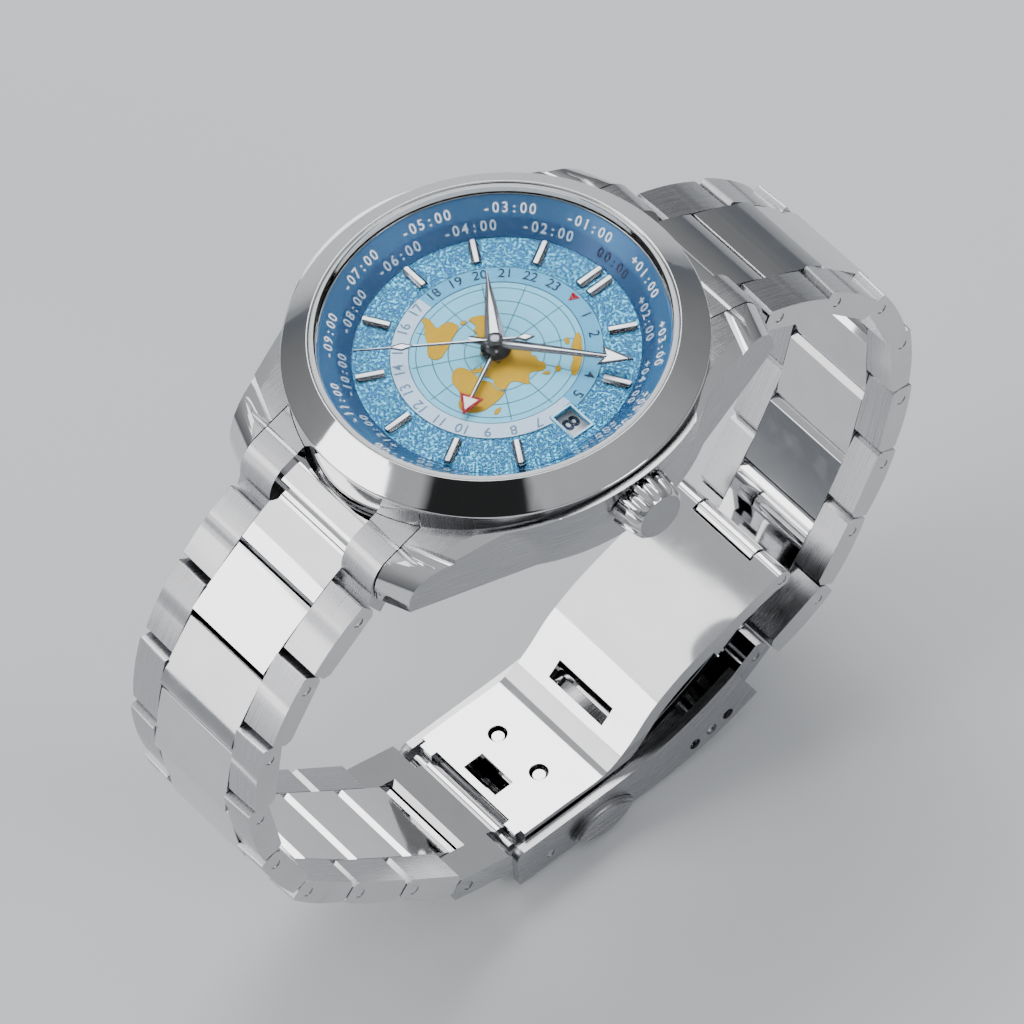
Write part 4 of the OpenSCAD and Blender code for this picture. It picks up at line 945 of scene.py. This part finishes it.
def lay_word(shape, words, size, radius, degrees, height, tilt, pitch, index=0):
    """Each letter is laid on its own, so that a word bends with the ring."""
    before = set(shape.faces)
    for place, letter in enumerate(words):
        along = math.degrees((place - (len(words) - 1) / 2) * pitch / radius)
        mesh = letters(letter, size, print_t, 0.02 * mm)
        lay(shape, mesh, radius, degrees + along, height, tilt, 0.95)
    paint_new(shape, before, index)


def hour_numbers(name, hours, ink):
    shape = bmesh.new()
    for hour in hours:
        mesh = letters(str(hour), hour_size, print_t, 0.015 * mm)
        lay(shape, mesh, hour_r, per_hour * hour, ring_high + print_t / 2)
    return new_piece(name, shape, [ink], "case")


night_hours, day_hours = [*range(1, 6), *range(18, 24)], list(range(7, 18))
hour_numbers("night_numbers", night_hours, navy_ink)
hour_numbers("day_numbers", day_hours, pale_ink)
print("night:", night_hours, "day:", day_hours)

# %% The triangle at 24


def plate(shape, outline, low, high, rim=0.0, sink=0.0, rim_index=0, face_index=1):
    """A flat plate; with a rim its middle is a second finish, set a little lower."""
    before = set(shape.faces)
    corners = [shape.verts.new((x, y, low)) for x, y in outline]
    top = raised(shape, shape.faces.new(corners), high - low)
    if rim:
        bmesh.ops.inset_region(shape, faces=top, thickness=rim, depth=-sink, use_even_offset=True)
    paint_new(shape, before, rim_index)
    if rim:
        top[0].material_index = face_index


def turned(shape, degrees):
    turn = Matrix.Rotation(-math.radians(degrees), 3, "Z")
    bmesh.ops.rotate(shape, verts=shape.verts, matrix=turn)
    return outward(shape)


def twenty_four_mark():
    shape = bmesh.new()
    half, base_r, tip_r = 0.55 * mm, 9.95 * mm, 8.95 * mm
    plate(shape, [(-half, base_r), (half, base_r), (0, tip_r)], ring_high, ring_high + print_t)
    return new_piece("twenty_four_mark", outward(shape), [red_ink], "case")


print("mark:", twenty_four_mark().name)

# %% The offsets on the flange
slope_in_r, slope_in_z = 13.9 * mm, dial_top + 0.12 * mm
slope_out_r, slope_out_z = 16.8 * mm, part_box("flange_ring")[1].z
slope = math.atan2(slope_out_z - slope_in_z, slope_out_r - slope_in_r)
outer_row, inner_row = 0.70, 0.27  # shares of the slope
offset_size, offset_pitch = 1.45 * mm, 0.9 * mm


def offset_numbers(name, offsets, inks):
    shape = bmesh.new()
    for offset in offsets:
        words = "%+03d:00" % offset if offset else "00:00"
        share = outer_row if offset % 2 else inner_row
        radius = slope_in_r + share * (slope_out_r - slope_in_r)
        height = slope_in_z + share * (slope_out_z - slope_in_z) + 0.02 * mm
        lay_word(shape, words, offset_size, radius, per_hour * offset, height, slope,
                 offset_pitch, 0 if offset % 2 else len(inks) - 1)
    return new_piece(name, shape, inks, "case")


offset_numbers("flange_numbers", [h for h in range(-11, 13) if h], [white_ink, soft_ink])
offset_numbers("flange_zero", [0], [dusk_ink])
print("flange slope", round(math.degrees(slope)), "degrees")

# %% The date that shows
date_size, date_stretch = 2.3 * mm, 1.3


def date_number():
    shape = bmesh.new()
    mesh = letters("8", date_size, print_t, 0.05 * mm)
    x = (window_low.x + window_high.x) / 2 - 0.6 * mm
    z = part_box("date_ring")[1].z + print_t / 2
    place = Matrix.Translation((x, 0.15 * mm, z))
    mesh.transform(place @ Matrix.Diagonal((date_stretch, 1, 1, 1)))
    shape.from_mesh(mesh)
    return new_piece("date_number", shape, [navy_ink], "date_ring")


print("date:", date_number().name)

# %% [markdown]
# ## Hands
# A watch hand is a thin strip whose top is filed into facets: two slopes and a flat between
# them. The flat is a painted highlight in near-white steel and the slopes are painted shade in
# dark steel. Stations along the strip give its width and the width of the flat, and the
# facets are drawn between them. Arrow heads and lozenges are plates with a raised rim, whose
# lowered middle gets the same painted highlight.

# %% Faceted strips
hub_sides = 48
hand_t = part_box("hour_hand")[1].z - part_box("hour_hand")[0].z
side_share = 0.45  # of a hand's thickness, below its facets


def strip(shape, stations, low):
    """stations: (distance, half width, half width of the flat), in millimetres."""
    rows = []
    side, top = low + hand_t * side_share, low + hand_t
    for y, half, flat in stations:
        rows.append([shape.verts.new((x * mm, y * mm, z)) for x, z in (
            (-half, low), (-half, side), (-flat, top), (flat, top), (half, side), (half, low))])
    for row, following in zip(rows, rows[1:]):
        for i in range(6):
            face = shape.faces.new((row[i], row[(i + 1) % 6], following[(i + 1) % 6], following[i]))
            # The flat top gets the painted highlight, the other faces the painted shade.
            face.material_index = 1 if i == 2 else 0
    shape.faces.new(rows[0])
    shape.faces.new(reversed(rows[-1]))


def hub(shape, radius, low, high, index=0):
    """A round disc at the middle of the dial."""
    before = set(shape.faces)
    rim = [on_clock(radius, 360 * i / hub_sides) for i in range(hub_sides)]
    bottom, top = [[shape.verts.new((p.x, p.y, z)) for p in rim] for z in (low, high)]
    shape.faces.new(top)
    shape.faces.new(reversed(bottom))
    for i in range(hub_sides):
        following = (i + 1) % hub_sides
        shape.faces.new((bottom[i], top[i], top[following], bottom[following]))
    paint_new(shape, before, index)


# Painted light on one polished steel: the near-white flat is a painted highlight and the dark sides are painted
# shade.
highlight_steel = polished("hand_flat_highlight", 0.3, (0.74, 0.76, 0.80), (0.84, 0.86, 0.90), metallic=0.3)
shaded_hand_steel = polished("shaded_hand_steel", 0.22, (0.13, 0.14, 0.16), (0.20, 0.21, 0.23), metallic=0.9)
hand_steel = [shaded_hand_steel, highlight_steel, black_hub]
minute_turn, hour_turn, gmt_turn, second_turn = 52.0, 304.3, 152.2, 217.8


def start_hand(node):
    return bmesh.new(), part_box(node)[0].z


def finish_hand(node, shape, turn, inks=()):
    return new_piece(node + "_finished", turned(shape, turn), [*hand_steel, *inks], node,
                     (node,))


def hour_hand():
    shape, low = start_hand("hour_hand")
    strip(shape, [(-1.0, 0.5, 0.1), (0.6, 1.0, 0.45), (4.5, 0.6, 0.22), (6.6, 0.35, 0.02),
                  (9.1, 0.03, 0.01)], low)
    hub(shape, 1.15 * mm, low, low + hand_t * 0.8)
    return finish_hand("hour_hand", shape, hour_turn)


def minute_hand():
    shape, low = start_hand("minute_hand")
    strip(shape, [(-2.6, 0.42, 0.12), (0, 0.34, 0.1), (1.5, 0.55, 0.12), (10.9, 0.28, 0.04)], low)
    plate(shape, [(0, 10.75 * mm), (1.1 * mm, 10.2 * mm), (0, 13.5 * mm), (-1.1 * mm, 10.2 * mm)],
          low, low + hand_t, 0.18 * mm, 0.05 * mm)
    hub(shape, 0.95 * mm, low, low + hand_t * 0.8)
    return finish_hand("minute_hand", shape, minute_turn)


def seconds_hand():
    shape, low = start_hand("seconds_hand")
    strip(shape, [(-2.2, 0.12, 0.05), (0, 0.15, 0.06), (7.9, 0.1, 0.04)], low)
    strip(shape, [(9.9, 0.07, 0.03), (13.6, 0.04, 0.01)], low)
    for near, far in ((7.7, 10.2), (-2.0, -3.8)):
        middle, half = (near + far) / 2 * mm, 0.42 * mm
        plate(shape, [(0, near * mm), (half, middle), (0, far * mm), (-half, middle)],
              low, low + hand_t, 0.11 * mm, 0.03 * mm)
    hub(shape, 0.78 * mm, low, low + hand_t * 1.2, 2)
    hub(shape, 0.42 * mm, low + hand_t * 1.2, low + hand_t * 1.7)
    return finish_hand("seconds_hand", shape, second_turn)


def gmt_hand():
    shape, low = start_hand("gmt_hand")
    strip(shape, [(0.6, 0.27, 0.06), (6.5, 0.18, 0.04)], low)
    plate(shape, [(-1.2 * mm, 6.1 * mm), (1.2 * mm, 6.1 * mm), (0, 8.35 * mm)], low, low + hand_t,
          0.26 * mm, 0.03 * mm, 3, 4)
    hub(shape, 1.5 * mm, low, low + hand_t, 2)
    return finish_hand("gmt_hand", shape, gmt_turn, (red_ink, white_ink))


hands = [hour_hand(), minute_hand(), seconds_hand(), gmt_hand()]
print("hands:", [hand.name for hand in hands])

# %% Batons, date frame and crystal


def crystal_glass():
    material, tree, socket = start_material("crystal_glass", 0.0)
    socket["Base Color"].default_value = (0.97, 0.985, 1.0, 1)
    socket["Roughness"].default_value = 0.0
    socket["IOR"].default_value = 1.06
    socket["Coat Weight"].default_value = 0.04
    socket["Transmission Weight"].default_value = 1.0
    through = add(tree, "ShaderNodeMixShader", {
        0: add(tree, "ShaderNodeLightPath").outputs["Is Shadow Ray"],
        1: tree.nodes["Principled BSDF"].outputs[0],
        2: add(tree, "ShaderNodeBsdfTransparent").outputs[0]})
    feed(tree, tree.nodes["Material Output"].inputs["Surface"], through.outputs[0])
    return material


# Painted highlight and shade: a baton's top faces get the bright steel, its sides the dark steel.
def baton_paint(place, normal):
    return 1 if normal.z > 0.85 else 0


soften("hour_batons", 0.05 * mm, baton_paint, [shaded_hand_steel, highlight_steel])
soften("date_frame", 0.08 * mm, one_finish, [window_paint])
rubber = paint_of("black_rubber", (0.015, 0.015, 0.016), (0.03, 0.03, 0.03), 0.6)
white_plastic = paint_of("white_gasket", (0.70, 0.71, 0.72), (0.80, 0.81, 0.82), 0.45)
spacer_plastic = paint_of("spacer_plastic", (0.40, 0.40, 0.42), (0.50, 0.50, 0.52), 0.5)
finish_of_node = {
    "crystal": crystal_glass(), "crystal_gasket": white_plastic, "flange_ring": flange_shade_paint,
    "dial": dial_field, "movement_ring": spacer_plastic, "back_gasket": rubber,
    "crown_gasket": rubber, "date_ring": white_ink, "gmt_hand": white_ink,
    "date_frame": window_paint,
}
print("glass and gaskets ready")

# %% [markdown]
# ## Finish
# The solids that stay are given their materials.

# %% Materials of the solids that stay
finish_of_slot = {
    "brushed_steel": case_steel, "polished_steel": mirror_steel, "movement_brass": brass,
}
for node, solid in solids.items():
    solid.data.materials.clear()
    solid.data.materials.append(finish_of_node.get(node) or finish_of_slot[slot_of[node]])
print("solids painted:", len(solids))
